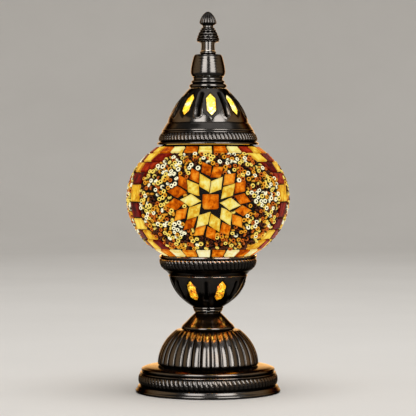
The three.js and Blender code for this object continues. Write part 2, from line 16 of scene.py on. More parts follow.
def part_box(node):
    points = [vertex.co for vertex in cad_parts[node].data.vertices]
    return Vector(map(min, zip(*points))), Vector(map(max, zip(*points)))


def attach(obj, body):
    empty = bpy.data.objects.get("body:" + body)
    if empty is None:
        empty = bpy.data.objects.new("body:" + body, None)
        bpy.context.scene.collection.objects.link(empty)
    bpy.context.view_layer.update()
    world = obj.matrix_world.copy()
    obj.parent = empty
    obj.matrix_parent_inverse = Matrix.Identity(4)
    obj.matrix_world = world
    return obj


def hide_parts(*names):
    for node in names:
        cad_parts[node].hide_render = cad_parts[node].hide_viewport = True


MM = 0.001
ON_AXIS = 1e-6

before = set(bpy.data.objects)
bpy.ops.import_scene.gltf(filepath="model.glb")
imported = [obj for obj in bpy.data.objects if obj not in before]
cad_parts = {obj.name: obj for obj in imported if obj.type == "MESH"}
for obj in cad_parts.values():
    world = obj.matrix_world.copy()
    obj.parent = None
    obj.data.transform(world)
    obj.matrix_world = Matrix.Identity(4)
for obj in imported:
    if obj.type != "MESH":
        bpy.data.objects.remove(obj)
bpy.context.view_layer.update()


def low(node):
    """Height of a CAD node's underside, in millimetres."""
    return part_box(node)[0].z / MM


def high(node):
    """Height of a CAD node's top, in millimetres."""
    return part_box(node)[1].z / MM


def span(node):
    """Heights of a CAD node's underside and top, in millimetres."""
    return low(node), high(node)


def reach(node):
    """Outer radius of a CAD node, in millimetres."""
    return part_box(node)[1].x / MM


# ---- Driving dimensions ----

FOOT_RADIUS = reach("base_shell")
FOOT_TOP = high("base_shell")
DOME_RADIUS = reach("fluted_dome")
DOME_RISE = 36.0
DOME_RIBS = 32
CUP_RING = reach("cup")
CUP_LIP = high("cup")
LID_LIP = low("lid_dome")
LID_TOP = high("lid_dome")
GLOBE_RADIUS = reach("mosaic_skin")
GLOBE_MIDDLE = 154.8
GLOBE_DROP = 55.6
GLOBE_RISE = 53.6
WALL = 1.5

# Windows: the heights between which the wall is pressed, and the radii between which it is cut
CUP_WINDOWS = {"count": 7, "turn": -28.6, "width": 7.6, "bottom": 72.8, "top": 90.0}
CUP_WINDOWS.update({"zone": (70, 92.6), "cut": (CUP_RING, 15)})
LID_WINDOWS = {"count": 8, "turn": 5.7, "width": 7.2, "bottom": 220.0, "top": 237.6}
LID_WINDOWS.update({"zone": (215, LID_TOP), "cut": (38, 14.4)})
# Pressed slots: their depth, the height of the rim round them, and the heights over which they fade
CUP_SLOTS = {"count": 7, "turn": -2.9, "width": 4.4, "bottom": 73.5, "top": 90.5}
CUP_SLOTS.update({"depth": 0.95, "rim": 0.4, "fade": (86.5, 91.5)})
LID_SLOTS = {"count": 8, "turn": -15.5, "width": 4.6, "bottom": 218.6, "top": 240.0}
LID_SLOTS.update({"depth": 1.2, "rim": 0.45, "fade": (234, 240.5)})
RIM_OFFSET = 0.7  # from the edge of a slot to the crest of its rim
RIM_WIDTH = 0.55
WINDOW_POINT = 0.55  # height of a window's pointed end, as a share of its width
WINDOW_DIP = 0.55
DIP_REACH = 1.5
SHARP = 38  # degrees between two faces from which the edge between them shows


# ---- Outlines ----


def rounded(points, steps=5):
    """An outline in which a corner given as (radius, height, fillet) is rounded off."""
    path = []
    for i, point in enumerate(points):
        corner = Vector(point[:2])
        if len(point) == 2:
            path.append(tuple(corner))
            continue
        arms = []
        for other in (points[i - 1], points[(i + 1) % len(points)]):
            arm = Vector(other[:2]) - corner
            arms.append(corner + arm.normalized() * min(point[2], arm.length / 2))
        for step in range(steps + 1):
            t = step / steps
            path.append(tuple(arms[0].lerp(corner, t).lerp(corner.lerp(arms[1], t), t)))
    return path


def flowing(points, steps=6):
    """A smooth curve through every point given."""
    found = []
    last = len(points) - 1
    for i in range(last):
        a, b, c, d = (Vector(points[min(max(k, 0), last)]) for k in (i - 1, i, i + 1, i + 2))
        for step in range(steps):
            t = step / steps
            turn = (2 * b) + (c - a) * t + (2 * a - 5 * b + 4 * c - d) * t**2
            found.append(tuple((turn + (3 * b - 3 * c + d - a) * t**3) / 2))
    found.append(tuple(points[-1]))
    return found


def bead(radius, height, swell, half, steps=10):
    """A half-round bead on a turned outline, from its lower edge to its upper one."""
    angles = [math.pi * (step / steps - 0.5) for step in range(steps + 1)]
    return [(radius + swell * math.cos(a), height + half * math.sin(a)) for a in angles]


def raised(points, height):
    """An outline given from a height up."""
    return [(r, height + z) for r, z in points]


def dense(points, spacing=0.6):
    """The same outline with no two neighbouring points further apart than the spacing."""
    path = [tuple(points[0])]
    for a, b in zip(points, points[1:]):
        a, b = Vector(a), Vector(b)
        parts = max(1, math.ceil((b - a).length / spacing))
        path += [tuple(a.lerp(b, (part + 1) / parts)) for part in range(parts)]
    return path


# ---- Meshes ----


def make_mesh(name, vertices, faces, sharp=SHARP):
    """A smooth-shaded object from vertices in millimetres, sharp where faces meet steeply."""
    mesh = bpy.data.meshes.new(name)
    mesh.from_pydata((np.asarray(vertices) * MM).tolist(), [], faces)
    mesh.validate()
    mesh.shade_smooth()
    mesh.set_sharp_from_angle(angle=math.radians(sharp))
    made = bpy.data.objects.new(name, mesh)
    bpy.context.scene.collection.objects.link(made)
    return made


def store(piece, name, values):
    """Keeps a number for each vertex, which the piece's material reads."""
    piece.data.attributes.new(name, "FLOAT", "POINT").data.foreach_set("value", values)


def turned(name, outer, inner=(), segments=180, shape=None, soot=None, closed=True, sharp=SHARP):
    """A turned piece. The outer outline runs up the outside; faces of the inner one are the
    second material. shape(radius, height, azimuth) returns the new radii of the outer outline,
    and a second function, called the same way, how far painted shade blackens it, from 0 to 1."""
    profile = np.array([*outer, *inner], float)
    rows = len(outer)
    azimuth = np.linspace(0, 2 * math.pi, segments, endpoint=False)
    radius = np.repeat(profile[:, :1], segments, axis=1)
    height = np.repeat(profile[:, 1:], segments, axis=1)
    groove_shade_values = np.zeros(radius.shape)
    outside = (radius[:rows], height[:rows], azimuth[None, :])
    # Painted shade: how far each point of the outside is blackened where it lies in a groove.
    if soot:
        groove_shade_values[:rows] = soot(*outside)
    if shape:
        radius[:rows] = shape(*outside)
    points = np.stack([radius * np.sin(azimuth), -radius * np.cos(azimuth), height], axis=2)
    on_axis = profile[:, 0] < ON_AXIS
    index = np.arange(radius.size).reshape(radius.shape)
    index[on_axis] = index[on_axis][:, :1]
    faces = []
    marks = []
    for row in range(len(profile) if closed else len(profile) - 1):
        following = (row + 1) % len(profile)
        if on_axis[row] and on_axis[following]:
            continue
        for column in range(segments):
            beside = (column + 1) % segments
            below = [index[row, column], index[row, beside]]
            above = [index[following, beside], index[following, column]]
            faces.append(list(dict.fromkeys(map(int, below + above))))
            marks.append(int(row >= rows))
    used = sorted({corner for face in faces for corner in face})
    renumbered = {old: new for new, old in enumerate(used)}
    faces = [[renumbered[corner] for corner in face] for face in faces]
    made = make_mesh(name, points.reshape(-1, 3)[used], faces, sharp)
    made.data.polygons.foreach_set("material_index", marks)
    if soot:
        store(made, "soot", groove_shade_values.reshape(-1)[used])
    return made


def finish_piece(piece, body, materials, replaces=()):
    """Gives a piece its materials, its body and the CAD nodes that it stands for."""
    for material in materials:
        piece.data.materials.append(material)
    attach(piece, body)
    if replaces:
        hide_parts(*replaces)
    return piece


def metal_piece(name, body, node, outer, inner=(), **options):
    """A turned piece of dark metal, in place of a CAD node where one is named."""
    piece = turned(name, outer, inner, **options)
    materials = [METAL, METAL] if inner else [METAL]
    finish_piece(piece, body, materials, [node] if node else [])


def across(azimuth, turn, count):
    """Signed angle from each azimuth to the nearest of a row of evenly spaced marks."""
    pitch = 2 * math.pi / count
    return (azimuth - math.radians(turn) + pitch / 2) % pitch - pitch / 2


def smooth_step(value, start, end):
    """0 up to the start, 1 from the end on, and an S between them."""
    t = np.clip((value - start) / (end - start), 0, 1)
    return t * t * (3 - 2 * t)


def slot_relief(radius, height, azimuth, slots, depth, rim):
    """How far the wall is pressed in along a row of round-ended slots with a raised rim."""
    half = slots["width"] / 2
    sideways = across(azimuth, slots["turn"], slots["count"]) * radius
    beyond = np.maximum(slots["bottom"] + half - height, 0) + np.maximum(height - slots["top"] + half, 0)
    distance = np.hypot(sideways, beyond)
    channel = 1 - smooth_step(distance, half * 0.35, half)
    ridge = np.exp(-(((distance - half - RIM_OFFSET) / RIM_WIDTH) ** 2))
    return depth * channel - rim * ridge


def window_relief(radius, height, azimuth, windows, depth=WINDOW_DIP, spread=DIP_REACH):
    """How far the wall dips round a row of pointed windows."""
    half = windows["width"] / 2
    point = windows["width"] * WINDOW_POINT
    sideways = np.abs(across(azimuth, windows["turn"], windows["count"]) * radius)
    lean = math.hypot(half, point)
    side = sideways - half
    top = (sideways * point + (height - windows["top"]) * half) / lean
    bottom = (sideways * point - (height - windows["bottom"]) * half) / lean
    distance = np.maximum(np.maximum(side, top), np.maximum(bottom, 0))
    return depth * np.exp(-((distance / spread) ** 2))


def window_cutter(windows):
    """One mesh of upright pointed prisms that reach through a wall."""
    half = windows["width"] / 2
    bottom, top = windows["bottom"], windows["top"]
    point = windows["width"] * WINDOW_POINT
    right = [(0, bottom), (half, bottom + point), (half, top - point)]
    corners = [*right, (0, top), (-half, top - point), (-half, bottom + point)]
    vertices = []
    faces = []
    for i in range(windows["count"]):
        turn = Matrix.Rotation(math.radians(windows["turn"] + i * 360 / windows["count"]), 3, "Z")
        front = range(len(vertices), len(vertices) + 6)
        for depth in windows["cut"]:
            vertices += [turn @ Vector((x, -depth, z)) for x, z in corners]
        faces.append(list(front))
        faces.append([k + 6 for k in reversed(front)])
        for k, following in zip(front, [*front[1:], front[0]]):
            faces.append([k, k + 6, following + 6, following])
    return make_mesh("cutter", vertices, faces)


def cut(piece, cutter):
    """Takes the cutter out of the piece for good."""
    modifier = piece.modifiers.new("windows", "BOOLEAN")
    modifier.operation = "DIFFERENCE"
    modifier.solver = "EXACT"
    modifier.object = cutter
    graph = bpy.context.evaluated_depsgraph_get()
    mesh = bpy.data.meshes.new_from_object(piece.evaluated_get(graph))
    piece.modifiers.clear()
    piece.data = mesh
    mesh.set_sharp_from_angle(angle=math.radians(SHARP))
    bpy.data.objects.remove(cutter)


# ---- Materials ----


BLACK = (0, 0, 0, 1)
UNLIT = 0.95  # how far the colour of glass lit from behind sinks towards black where it isn't lit
BEAD_DIM = 0.12  # brightness of the sides of a bead, as a share of its face's: painted shade


def tone(red, green, blue):
    """A colour given as the eye sees it, from 0 to 255, turned into linear light."""
    parts = []
    for value in (red, green, blue):
        share = value / 255
        parts.append(share / 12.92 if share <= 0.04045 else ((share + 0.055) / 1.055) ** 2.4)
    return (*parts, 1)


def toned(*stops):
    """The stops of a colour ramp, each given as its place and its tone."""
    return [(position, tone(*colour)) for position, *colour in stops]


def socket_name(key):
    """The name of a Principled shader's socket, from the name of an argument."""
    return key.replace("_", " ").title().replace("Ior", "IOR")


def new_material(name, **sockets):
    """A material with a Principled shader, its sockets set by name: base_color=..., metallic=..."""
    material = bpy.data.materials.new(name)
    material.use_nodes = True
    shader = material.node_tree.nodes["Principled BSDF"]
    for key, value in sockets.items():
        shader.inputs[socket_name(key)].default_value = value
    return material, material.node_tree, shader


def feed(shader, **sources):
    """Links node outputs to a shader's sockets, by the same names."""
    for key, source in sources.items():
        shader.id_data.links.new(source, shader.inputs[socket_name(key)])


def add_node(tree, kind, links=(), **settings):
    """A node with its settings and its inputs: links are (input, output socket or value)."""
    node = tree.nodes.new("ShaderNode" + kind)
    for key, value in settings.items():
        setattr(node, key, value)
    for socket, source in links:
        if isinstance(source, bpy.types.NodeSocket):
            tree.links.new(source, node.inputs[socket])
        else:
            node.inputs[socket].default_value = source
    return node


def cloud(tree, scale, detail=4, roughness=0.55, stretch=(1, 1, 1)):
    """A noise from 0 to 1, over object coordinates scaled along each axis."""
    coordinates = add_node(tree, "TexCoord").outputs["Object"]
    place = add_node(tree, "Mapping", [("Vector", coordinates), ("Scale", stretch)]).outputs[0]
    links = [("Vector", place), ("Scale", scale), ("Detail", detail), ("Roughness", roughness)]
    return add_node(tree, "TexNoise", links).outputs["Fac"]


def ramp(tree, factor, *stops):
    """A colour ramp of (place, colour) stops."""
    node = add_node(tree, "ValToRGB", [("Fac", factor)])
    elements = node.color_ramp.elements
    while len(elements) < len(stops):
        elements.new(0.5)
    for element, (position, colour) in zip(elements, stops):
        element.position = position
        element.color = colour
    return node.outputs["Color"]


def spread(tree, factor, low_value, high_value, start=0.0, end=1.0):
    """A factor mapped on to a range of values."""
    links = [(0, factor), (1, start), (2, end), (3, low_value), (4, high_value)]
    return add_node(tree, "MapRange", links).outputs[0]


def calc(tree, operation, first, second=0):
    """A sum on one or two factors."""
    return add_node(tree, "Math", [(0, first), (1, second)], operation=operation).outputs[0]


def stored(tree, name):
    """The number that store() kept at each vertex, or 0 where there is none."""
    return add_node(tree, "Attribute", attribute_name=name).outputs["Fac"]


def mix(tree, factor, first, second):
    """Two colours mixed. The Mix node has colour sockets 6 and 7, and gives the colour at 2."""
    links = [(0, factor), (6, first), (7, second)]
    return add_node(tree, "Mix", links, data_type="RGBA").outputs[2]


def dimmed(colour, share):
    """A colour with its parts cut down to a share of themselves."""
    return (*(part * share for part in colour[:3]), 1)


def bump(tree, shader, height, strength, distance, normal=None):
    """Adds a bump of a real depth, in metres, to a shader, on top of another bump if given one."""
    links = [("Height", height), ("Strength", strength), ("Distance", distance)]
    if normal is not None:
        links.append(("Normal", normal))
    bumped = add_node(tree, "Bump", links).outputs[0]
    feed(shader, normal=bumped)
    return bumped


def shine(tree, shader, colour, unlit=UNLIT):
    """Light from behind: the colour is given off, and hardly shows in light from outside."""
    feed(shader, base_color=mix(tree, unlit, colour, BLACK), emission_color=colour)


def dark_metal():
    """Polished black nickel: brown where it has tarnished, paler on worn edges, and blackened by painted
    shade in creases and grooves.
    """
    material, tree, shader = new_material("dark_metal", metallic=1.0, specular_tint=(0.35, 0.33, 0.3, 1))
    body = ramp(
        tree,
        cloud(tree, 26, 5, 0.6),
        (0.3, (0.0155, 0.0143, 0.0135, 1)),
        (0.55, (0.0225, 0.0205, 0.0187, 1)),
        (0.75, (0.032, 0.0235, 0.0165, 1)),
    )
    pointed = add_node(tree, "NewGeometry").outputs["Pointiness"]
    worn = spread(tree, pointed, 0, 1, 0.52, 0.6)
    rubbed = calc(tree, "MULTIPLY", worn, spread(tree, cloud(tree, 160), 0.2, 0.9, 0.35, 0.65))
    polished = mix(tree, rubbed, body, (0.094, 0.078, 0.065, 1))
    # Painted shade: creases, found by pointiness, and the grooves that the turned pieces mark, are
    # blackened.
    creases = spread(tree, pointed, 0, 0.9, 0.488, 0.445)
    soot = calc(tree, "MAXIMUM", creases, calc(tree, "MULTIPLY", stored(tree, "soot"), 0.9))
    smudges = spread(tree, cloud(tree, 55, 6, 0.65), 0.12, 0.23, 0.3, 0.75)
    feed(shader, base_color=mix(tree, soot, polished, BLACK), roughness=smudges)
    spun = bump(tree, shader, cloud(tree, 1, 3, 0.6, (60, 60, 1500)), 0.25, 0.00002)
    bump(tree, shader, cloud(tree, 900, 2), 0.06, 0.00001, spun)
    return material


def amber_film(name, scale, crease_width, stops, crease_colour, strength):
    """Crinkled film with the bulb behind it: bright between its folds, dark along them."""
    material, tree, shader = new_material(name, roughness=0.35, emission_strength=strength)
    folds = cloud(tree, scale, 4, 0.6, (1, 1, 0.75))
    distance = calc(tree, "ABSOLUTE", calc(tree, "SUBTRACT", folds, 0.5))
    crease = spread(tree, distance, 1, 0, crease_width * 0.25, crease_width)
    glow = ramp(tree, cloud(tree, scale * 0.6, 3), *stops)
    shine(tree, shader, mix(tree, crease, glow, crease_colour), 0.85)
    bump(tree, shader, folds, 0.5, 0.0005)
    return material


def plain_metal(name, colour, roughness, grain=400, wear=0.25):
    """A bare metal part: mottled, with fine scratches."""
    material, tree, shader = new_material(name, metallic=1.0)
    mottled = cloud(tree, grain, 5, 0.6)
    shade = ramp(tree, mottled, (0.3, dimmed(colour, 1 - wear)), (0.65, colour))
    feed(shader, base_color=shade, roughness=spread(tree, mottled, roughness * 0.8, roughness * 1.3))
    bump(tree, shader, cloud(tree, 1, 3, 0.6, (300, 300, 2500)), 0.4, 0.00003)
    return material


def moulded(name, colour, roughness):
    """Rubber, plastic or ceramic: one colour that varies a little, with a fine moulded grain."""
    material, tree, shader = new_material(name)
    dust = cloud(tree, 90, 4)
    paler = (*(min(1, part * 1.5 + 0.01) for part in colour[:3]), 1)
    shade = ramp(tree, dust, (0.35, colour), (0.8, paler))
    feed(shader, base_color=shade, roughness=spread(tree, dust, roughness, min(1, roughness * 1.25)))
    bump(tree, shader, cloud(tree, 700, 3), 0.5, 0.00006)
    return material


def lit_glass(name, stops, strength, scale=60):
    """Glass with the bulb's light in it: glowing unevenly, glossy outside."""
    material, tree, shader = new_material(
        name, roughness=0.08, emission_strength=strength, coat_weight=0.4, coat_roughness=0.05
    )
    shine(tree, shader, ramp(tree, cloud(tree, scale, 3), *stops))
    bump(tree, shader, cloud(tree, 180, 2), 0.3, 0.0001)
    return material


def tile_glass(name, stops, strength):
    """Cut stained glass, lit from behind: every piece has its own tint, with streaks and seeds."""
    material, tree, shader = new_material(
        name, roughness=0.3, emission_strength=strength, specular_ior_level=0.02
    )
    streaks = cloud(tree, 210, 4, 0.55, (1, 1, 0.7))
    seeds = calc(tree, "MULTIPLY", cloud(tree, 520, 2), 0.25)
    mottled = calc(tree, "ADD", calc(tree, "MULTIPLY", streaks, 0.75), seeds)
    tint = calc(tree, "MULTIPLY", calc(tree, "SUBTRACT", stored(tree, "tint"), 0.5), 0.2)
    colour = ramp(tree, calc(tree, "ADD", mottled, tint), *stops)
    edge = calc(tree, "MULTIPLY", stored(tree, "rim"), 0.5)
    shine(tree, shader, mix(tree, edge, colour, stops[0][1]))
    bump(tree, shader, streaks, 0.5, 0.00025)
    return material


def bead_glass(name, glow, strength):
    """Pressed glass of one colour, dimmed by painted shade where a bead turns down to the grout; a pitted
    surface.
    """
    material, tree, shader = new_material(name, emission_strength=strength, specular_ior_level=0.2)
    shine(tree, shader, mix(tree, stored(tree, "rim"), glow, dimmed(glow, BEAD_DIM)))
    feed(shader, roughness=spread(tree, cloud(tree, 700, 2), 0.2, 0.32))
    bump(tree, shader, cloud(tree, 900, 2), 0.3, 0.00008)
    return material


def grout_paste():
    """Near-black grout, gritty and dull, greyer where dust has settled."""
    material, tree, shader = new_material("grout", specular_ior_level=0.15)
    grit = cloud(tree, 420, 6, 0.7)
    shade = ramp(tree, grit, (0.35, (0.0016, 0.0011, 0.0008, 1)), (0.7, (0.007, 0.0045, 0.003, 1)))
    feed(shader, base_color=shade, roughness=spread(tree, grit, 0.55, 0.85))
    bump(tree, shader, grit, 0.8, 0.0003)
    return material


METAL = dark_metal()
CUP_STOPS = toned((0.35, 236, 128, 6), (0.5, 255, 184, 24), (0.66, 255, 226, 84))
CUP_FILM = amber_film("cup_film", 330, 0.05, CUP_STOPS, tone(70, 20, 2), 0.95)
LID_STOPS = toned((0.36, 238, 166, 6), (0.5, 255, 214, 36), (0.62, 255, 244, 170))
LID_FILM = amber_film("lid_film", 260, 0.022, LID_STOPS, tone(176, 98, 6), 1.0)
UNPLATED = plain_metal("unplated_inside", (0.09, 0.065, 0.045, 1), 0.4)
STEEL = plain_metal("plated_steel", tone(190, 190, 186), 0.3)
IRON = plain_metal("cast_iron", tone(70, 70, 70), 0.6, 250, 0.5)
BRASS = plain_metal("brass", tone(214, 170, 88), 0.28, 300)
RUBBER = moulded("rubber", (0.012, 0.012, 0.012, 1), 0.75)
HOLDER_PLASTIC = moulded("holder_plastic", (0.01, 0.01, 0.01, 1), 0.35)
CERAMIC = moulded("ceramic", tone(226, 220, 204), 0.4)
GLOBE_STOPS = toned((0.35, 250, 150, 16), (0.5, 255, 178, 34), (0.66, 255, 218, 120))
GLOBE_GLASS = lit_glass("globe_glass", GLOBE_STOPS, 0.8)
BULB_GLASS = lit_glass("bulb_glass", toned((0.3, 255, 205, 110), (0.7, 255, 236, 180)), 1.6)
FILAMENT = lit_glass("filament", toned((0.3, 255, 150, 40), (0.7, 255, 220, 120)), 3.0, 600)
GROUT = grout_paste()


# ---- Foot and dome ----


def foot():
    """The spun foot: a lip, a slanted rim, the seat of the ribbed ring, two beads and a slope."""
    inside = FOOT_RADIUS - 5
    lip = [(inside, 0.5), (FOOT_RADIUS, 0.5, 0.4), (FOOT_RADIUS, 2.0, 0.5), (FOOT_RADIUS - 1.0, 3.0, 0.8)]
    outer = rounded([*lip, (FOOT_RADIUS - 2.0, 5.2, 0.8), (FOOT_RADIUS - 4.4, 5.9, 0.3)])
    outer += bead(53.6, 15.4, 0.9, 0.65)
    outer += bead(52.4, 17.9, 1.0, 1.3, 14)
    outer += flowing([(51.9, 19.4), (49.6, 20.3), (45.5, 20.9), (DOME_RADIUS + 0.6, FOOT_TOP)])
    outer.append((6, FOOT_TOP))
    inner = [(6, FOOT_TOP - WALL), (44, FOOT_TOP - WALL), (51, 16.5), (51, 4), (inside, 4)]
    metal_piece("foot_shell", "stand", "base_shell", dense(outer), inner, segments=360)


def ribbed_ring(name, body, foot_edge, head_edge, ribs, depth, swell, slant):
    """A gadrooned ring: leaning, rounded ribs over a convex band from one (radius, height) edge
    to another."""
    bottom, top = foot_edge[1], head_edge[1]
    behind = 2.2  # how far the back of the ring lies inside its front
    steps = 24

    def place_on_ring(z, azimuth):
        """The place up the ring and the place across a rib, each from -1 to 1."""
        level = np.clip(2 * (z - bottom) / (top - bottom) - 1, -1, 1)
        return level, 2 * ((azimuth * ribs / (2 * math.pi) + slant * level) % 1) - 1

    def ribbed(r, z, azimuth):
        level, t = place_on_ring(z, azimuth)
        envelope = np.sqrt(np.maximum(0, 1 - np.abs(level) ** 2.4))
        rib = np.sqrt(np.maximum(0, 1 - t**2))
        front = foot_edge[0] + (head_edge[0] - foot_edge[0]) * (level + 1) / 2
        return np.where(r > front - behind / 2, r + envelope * (swell + depth * rib), r)

    # Painted shade, darkest in the gaps between the ribs.
    def sooty(r, z, azimuth):
        return np.abs(place_on_ring(z, azimuth)[1]) ** 3

    outer = [(foot_edge[0] - behind, bottom)]
    outer += [tuple(Vector(foot_edge).lerp(Vector(head_edge), step / steps)) for step in range(steps + 1)]
    outer.append((head_edge[0] - behind, top))
    metal_piece(name, body, None, outer, segments=ribs * 8, shape=ribbed, soot=sooty, sharp=60)


def fluted_dome():
    """The pressed dome: rounded ribs with narrow valleys, each ending in a lobe at the foot."""
    bottom, top = span("fluted_dome")
    rib_half = math.radians(29)  # how far a rib's surface turns away at its edge
    rib_swell = 0.85
    valley = 0.95
    smooth_radius = 9  # the ribs run out by here
    steps = 64

    def across_rib(azimuth):
        return across(azimuth, -2.5, DOME_RIBS) / (math.pi / DOME_RIBS)

    def fluted(r, z, azimuth):
        t = across_rib(azimuth)
        curve = np.sqrt(1 - (t * math.sin(rib_half)) ** 2)
        drop = (1 - curve) / (1 - math.cos(rib_half))
        valley_line = smooth_step(np.abs(t), 0.76, 1.0)
        share = np.clip((r - smooth_radius) / (DOME_RADIUS - smooth_radius), 0, 1)
        tuck = np.clip(1 - (z - bottom) / 1.8, 0, 1) ** 2 * 1.1
        return r - share * (rib_swell * drop + valley * valley_line + tuck)

    # Painted shade along the valleys between the ribs.
    def sooty(r, z, azimuth):
        return smooth_step(np.abs(across_rib(azimuth)), 0.62, 0.95) * np.ones_like(r)

    sweep = math.asin((top - bottom) / DOME_RISE)
    outer = [(DOME_RADIUS - 3, bottom)]
    for step in range(steps + 1):
        a = sweep * step / steps
        outer.append((DOME_RADIUS * math.cos(a), bottom + DOME_RISE * math.sin(a)))
    inner = [(12, top), (12, top - WALL), (24, top - 2 * WALL), (DOME_RADIUS - 4.4, bottom)]
    options = {"segments": DOME_RIBS * 16, "shape": fluted, "soot": sooty, "sharp": 50}
    metal_piece("dome_shell", "stand", "fluted_dome", outer, inner, **options)


def ring_outline(node, hole, swell, steps):
    """A half-round ring that fills a CAD node's height and reach."""
    bottom, top = span(node)
    round_side = bead(reach(node) - swell, (bottom + top) / 2, swell, (top - bottom) / 2, steps)
    return [(hole, bottom), *round_side, (hole, top)]


def neck():
    """The flared neck between the dome and the cup, with a small roll at its head."""
    bottom, top = span("neck_cone")
    outer = [(6, bottom)]
    flare = [(20.6, 0), (19.4, 1.1), (17.3, 3.0), (14.3, 6.2), (11.8, 8.6), (10.4, 9.9)]
    outer += flowing(raised(flare, bottom))
    outer += flowing([(10.3, bottom + 10.3), (10.8, bottom + 10.9), (11.3, top)], 4)
    outer.append((6, top))
    metal_piece("neck_flare", "stand", "neck_cone", dense(outer))


# ---- Cup and lid ----


def pierced_shell(name, body, node, outer, inner, slots, windows, segments):
    """A turned shell with pressed slots and pointed windows."""

    def pressed(r, z, azimuth):
        relief = slot_relief(r, z, azimuth, slots, slots["depth"], slots["rim"])
        relief *= 1 - smooth_step(z, *slots["fade"])
        relief += window_relief(r, z, azimuth, windows)
        return np.where((z > windows["zone"][0]) & (z < windows["zone"][1]), r - relief, r)

    # Painted shade in the slots' channels and in the dips round the windows.
    def sooty(r, z, azimuth):
        in_slots = slot_relief(r, z, azimuth, slots, 1.0, 0.0)
        return np.maximum(in_slots, window_relief(r, z, azimuth, windows, 1.0, 0.8))

    piece = turned(name, dense(outer, 0.55), inner, segments=segments, shape=pressed, soot=sooty)
    cut(piece, window_cutter(windows))
    finish_piece(piece, body, [METAL, UNPLATED], [node])


def cup():
    """The cup: two beads at its foot, a bowl with windows and slots, a bead and the ring's seat."""
    bottom = low("cup")
    outer = [(6, bottom), (11.2, bottom)]
    outer += bead(11.2, bottom + 0.7, 0.5, 0.6, 6)
    outer += bead(11.7, bottom + 2.5, 0.6, 0.8, 6)
    bowl = [(12.6, 68.2), (17.4, 71.4), (22.6, 75.8), (26.6, 80.8), (29.3, 86.0), (30.7, 90.6)]
    outer += flowing([*bowl, (31.2, 92.4)])
    outer += bead(31.0, 92.9, 0.6, 0.5, 6)
    outer += rounded([(31.1, 93.6, 0.2), (31.4, 94.4, 0.3)], 3)
    outer += flowing([(31.9, 94.7), (33.2, 96.2), (35.2, 97.6), (36.0, 98.3)])
    outer += [(34.9, 98.6), (37.2, 106.6)]
    outer += rounded([(38.6, 106.9, 0.3), (38.9, 107.6, 0.4), (38.8, CUP_LIP, 0.4), (37.8, CUP_LIP, 0.3)], 3)
    inner = [(36.2, 102.4), (32.2, 96.9), (30.4, 95.9), (25.5, 95.9), (25.5, 94.4), (29.3, 94.0)]
    inner += [(28.9, 88.4), (25.4, 81.8), (21.0, 75.6), (14.2, 72.0), (12, 71.1), (6, 71.1)]
    pierced_shell("cup_shell", "stand", "cup", outer, inner, CUP_SLOTS, CUP_WINDOWS, 360)


def lid():
    """The lid: a rolled lip, a flare with one soft bead, a ledge and a slotted dome."""
    outer = rounded([(38.6, 199.0), (40.4, LID_LIP, 0.4), (40.8, 198.3, 0.5), (39.4, 199.6, 0.5)], 4)
    outer += [(38.3, 200.0), (35.8, 206.8)]
    outer += flowing([(37.1, 206.9), (36.9, 207.4), (36.5, 207.9)], 4)
    outer += bead(36.0, 208.7, 0.6, 0.7, 8)
    outer += flowing([(35.7, 209.8), (34.6, 211.6), (33.4, 213.6)], 4)
    outer += rounded([(33.2, 214.2, 0.3), (32.4, 214.4, 0.3)], 3)
    side = [(32.2, 214.9), (31.4, 218.4), (29.7, 222.4), (27.3, 227.0), (24.1, 231.8), (19.7, 237.0)]
    outer += flowing([*side, (15.4, 241.7)])
    outer += [(14.8, LID_TOP), (4, LID_TOP)]
    ceiling = LID_TOP - WALL
    inner = [(4, ceiling), (14.4, ceiling), (18.7, 236.3), (22.9, 231.3), (26.2, 226.6), (28.3, 222.1)]
    inner += [(29.9, 218), (30.7, 214), (35.0, 206), (37.2, 201.4), (37.2, 200.9), (37.6, 200.4)]
    pierced_shell("lid_shell", "lid", "lid_dome", outer, inner, LID_SLOTS, LID_WINDOWS, 384)


def film_liner(name, body, node, profile, material):
    """A thin film behind a row of windows, crumpled into sharp folds."""

    def crumpled(r, z, azimuth):
        folds = 0
        for around, up, shift in ((23, 0.9, 0.1), (-31, 1.3, 0.45), (47, -2.1, 0.8), (13, 2.9, 0.3)):
            phase = (azimuth * around / (2 * math.pi) + z * up / (2 * math.pi) + shift) % 1
            folds = folds + np.abs(2 * phase - 1) - 0.5
        return r + 0.16 * folds

    outer = dense(flowing(profile), 0.5)
    inner = [(r - 0.35, z) for r, z in reversed(outer)]
    piece = turned(name, outer, inner, segments=320, shape=crumpled, sharp=12)
    finish_piece(piece, body, [material, material], [node])


def lid_beads():
    """The collar on the lid: a large bead, a smaller one and a short throat."""
    bottom, top = span("lid_bead_collar")
    outer = [(3.5, bottom)]
    outer += bead(13.0, bottom + 1.9, 1.9, 1.8, 14)
    outer += bead(12.0, bottom + 5.2, 1.3, 1.2, 12)
    outer += flowing([(11.7, bottom + 6.8), (11.6, bottom + 7.8), (12.2, top - 0.3)], 4)
    outer += [(12.0, top), (3.5, top)]
    metal_piece("lid_beads", "lid", "lid_bead_collar", dense(outer, 0.8))


def turret():
    """The turret: a rounded foot and tapering sides with faint spun rings."""
    bottom, top = span("lid_turret")

    def spun(r, z, azimuth):
        return r + 0.05 * np.sin(2 * math.pi * z / 2.3) * smooth_step(z, bottom + 2, bottom + 4)

    outer = [(11.6, bottom), (12.4, bottom)]
    side = [(12.7, 0.3), (13.4, 1.6), (13.8, 3.4), (13.6, 6.2), (12.8, 10.6), (11.8, 14.6)]
    outer += flowing([*raised(side, bottom), (11.0, top - 0.5)])
    outer += rounded([(10.6, top, 0.5), (4, top)], 3)
    inner = [(4, top - 1.3), (9.2, top - 1.3), (11.4, 264)]
    metal_piece("turret_shell", "lid", "lid_turret", dense(outer, 0.4), inner, shape=spun)


def finial_stem():
    """The waisted stem under the finial."""
    bottom, top = span("finial_neck")
    radius = reach("finial_neck")
    side = flowing([(radius, bottom), (radius - 0.35, (bottom + top) / 2), (radius, top)])
    metal_piece("finial_stem", "lid", "finial_neck", [(3.5, bottom), *side, (3.5, top)], segments=96)


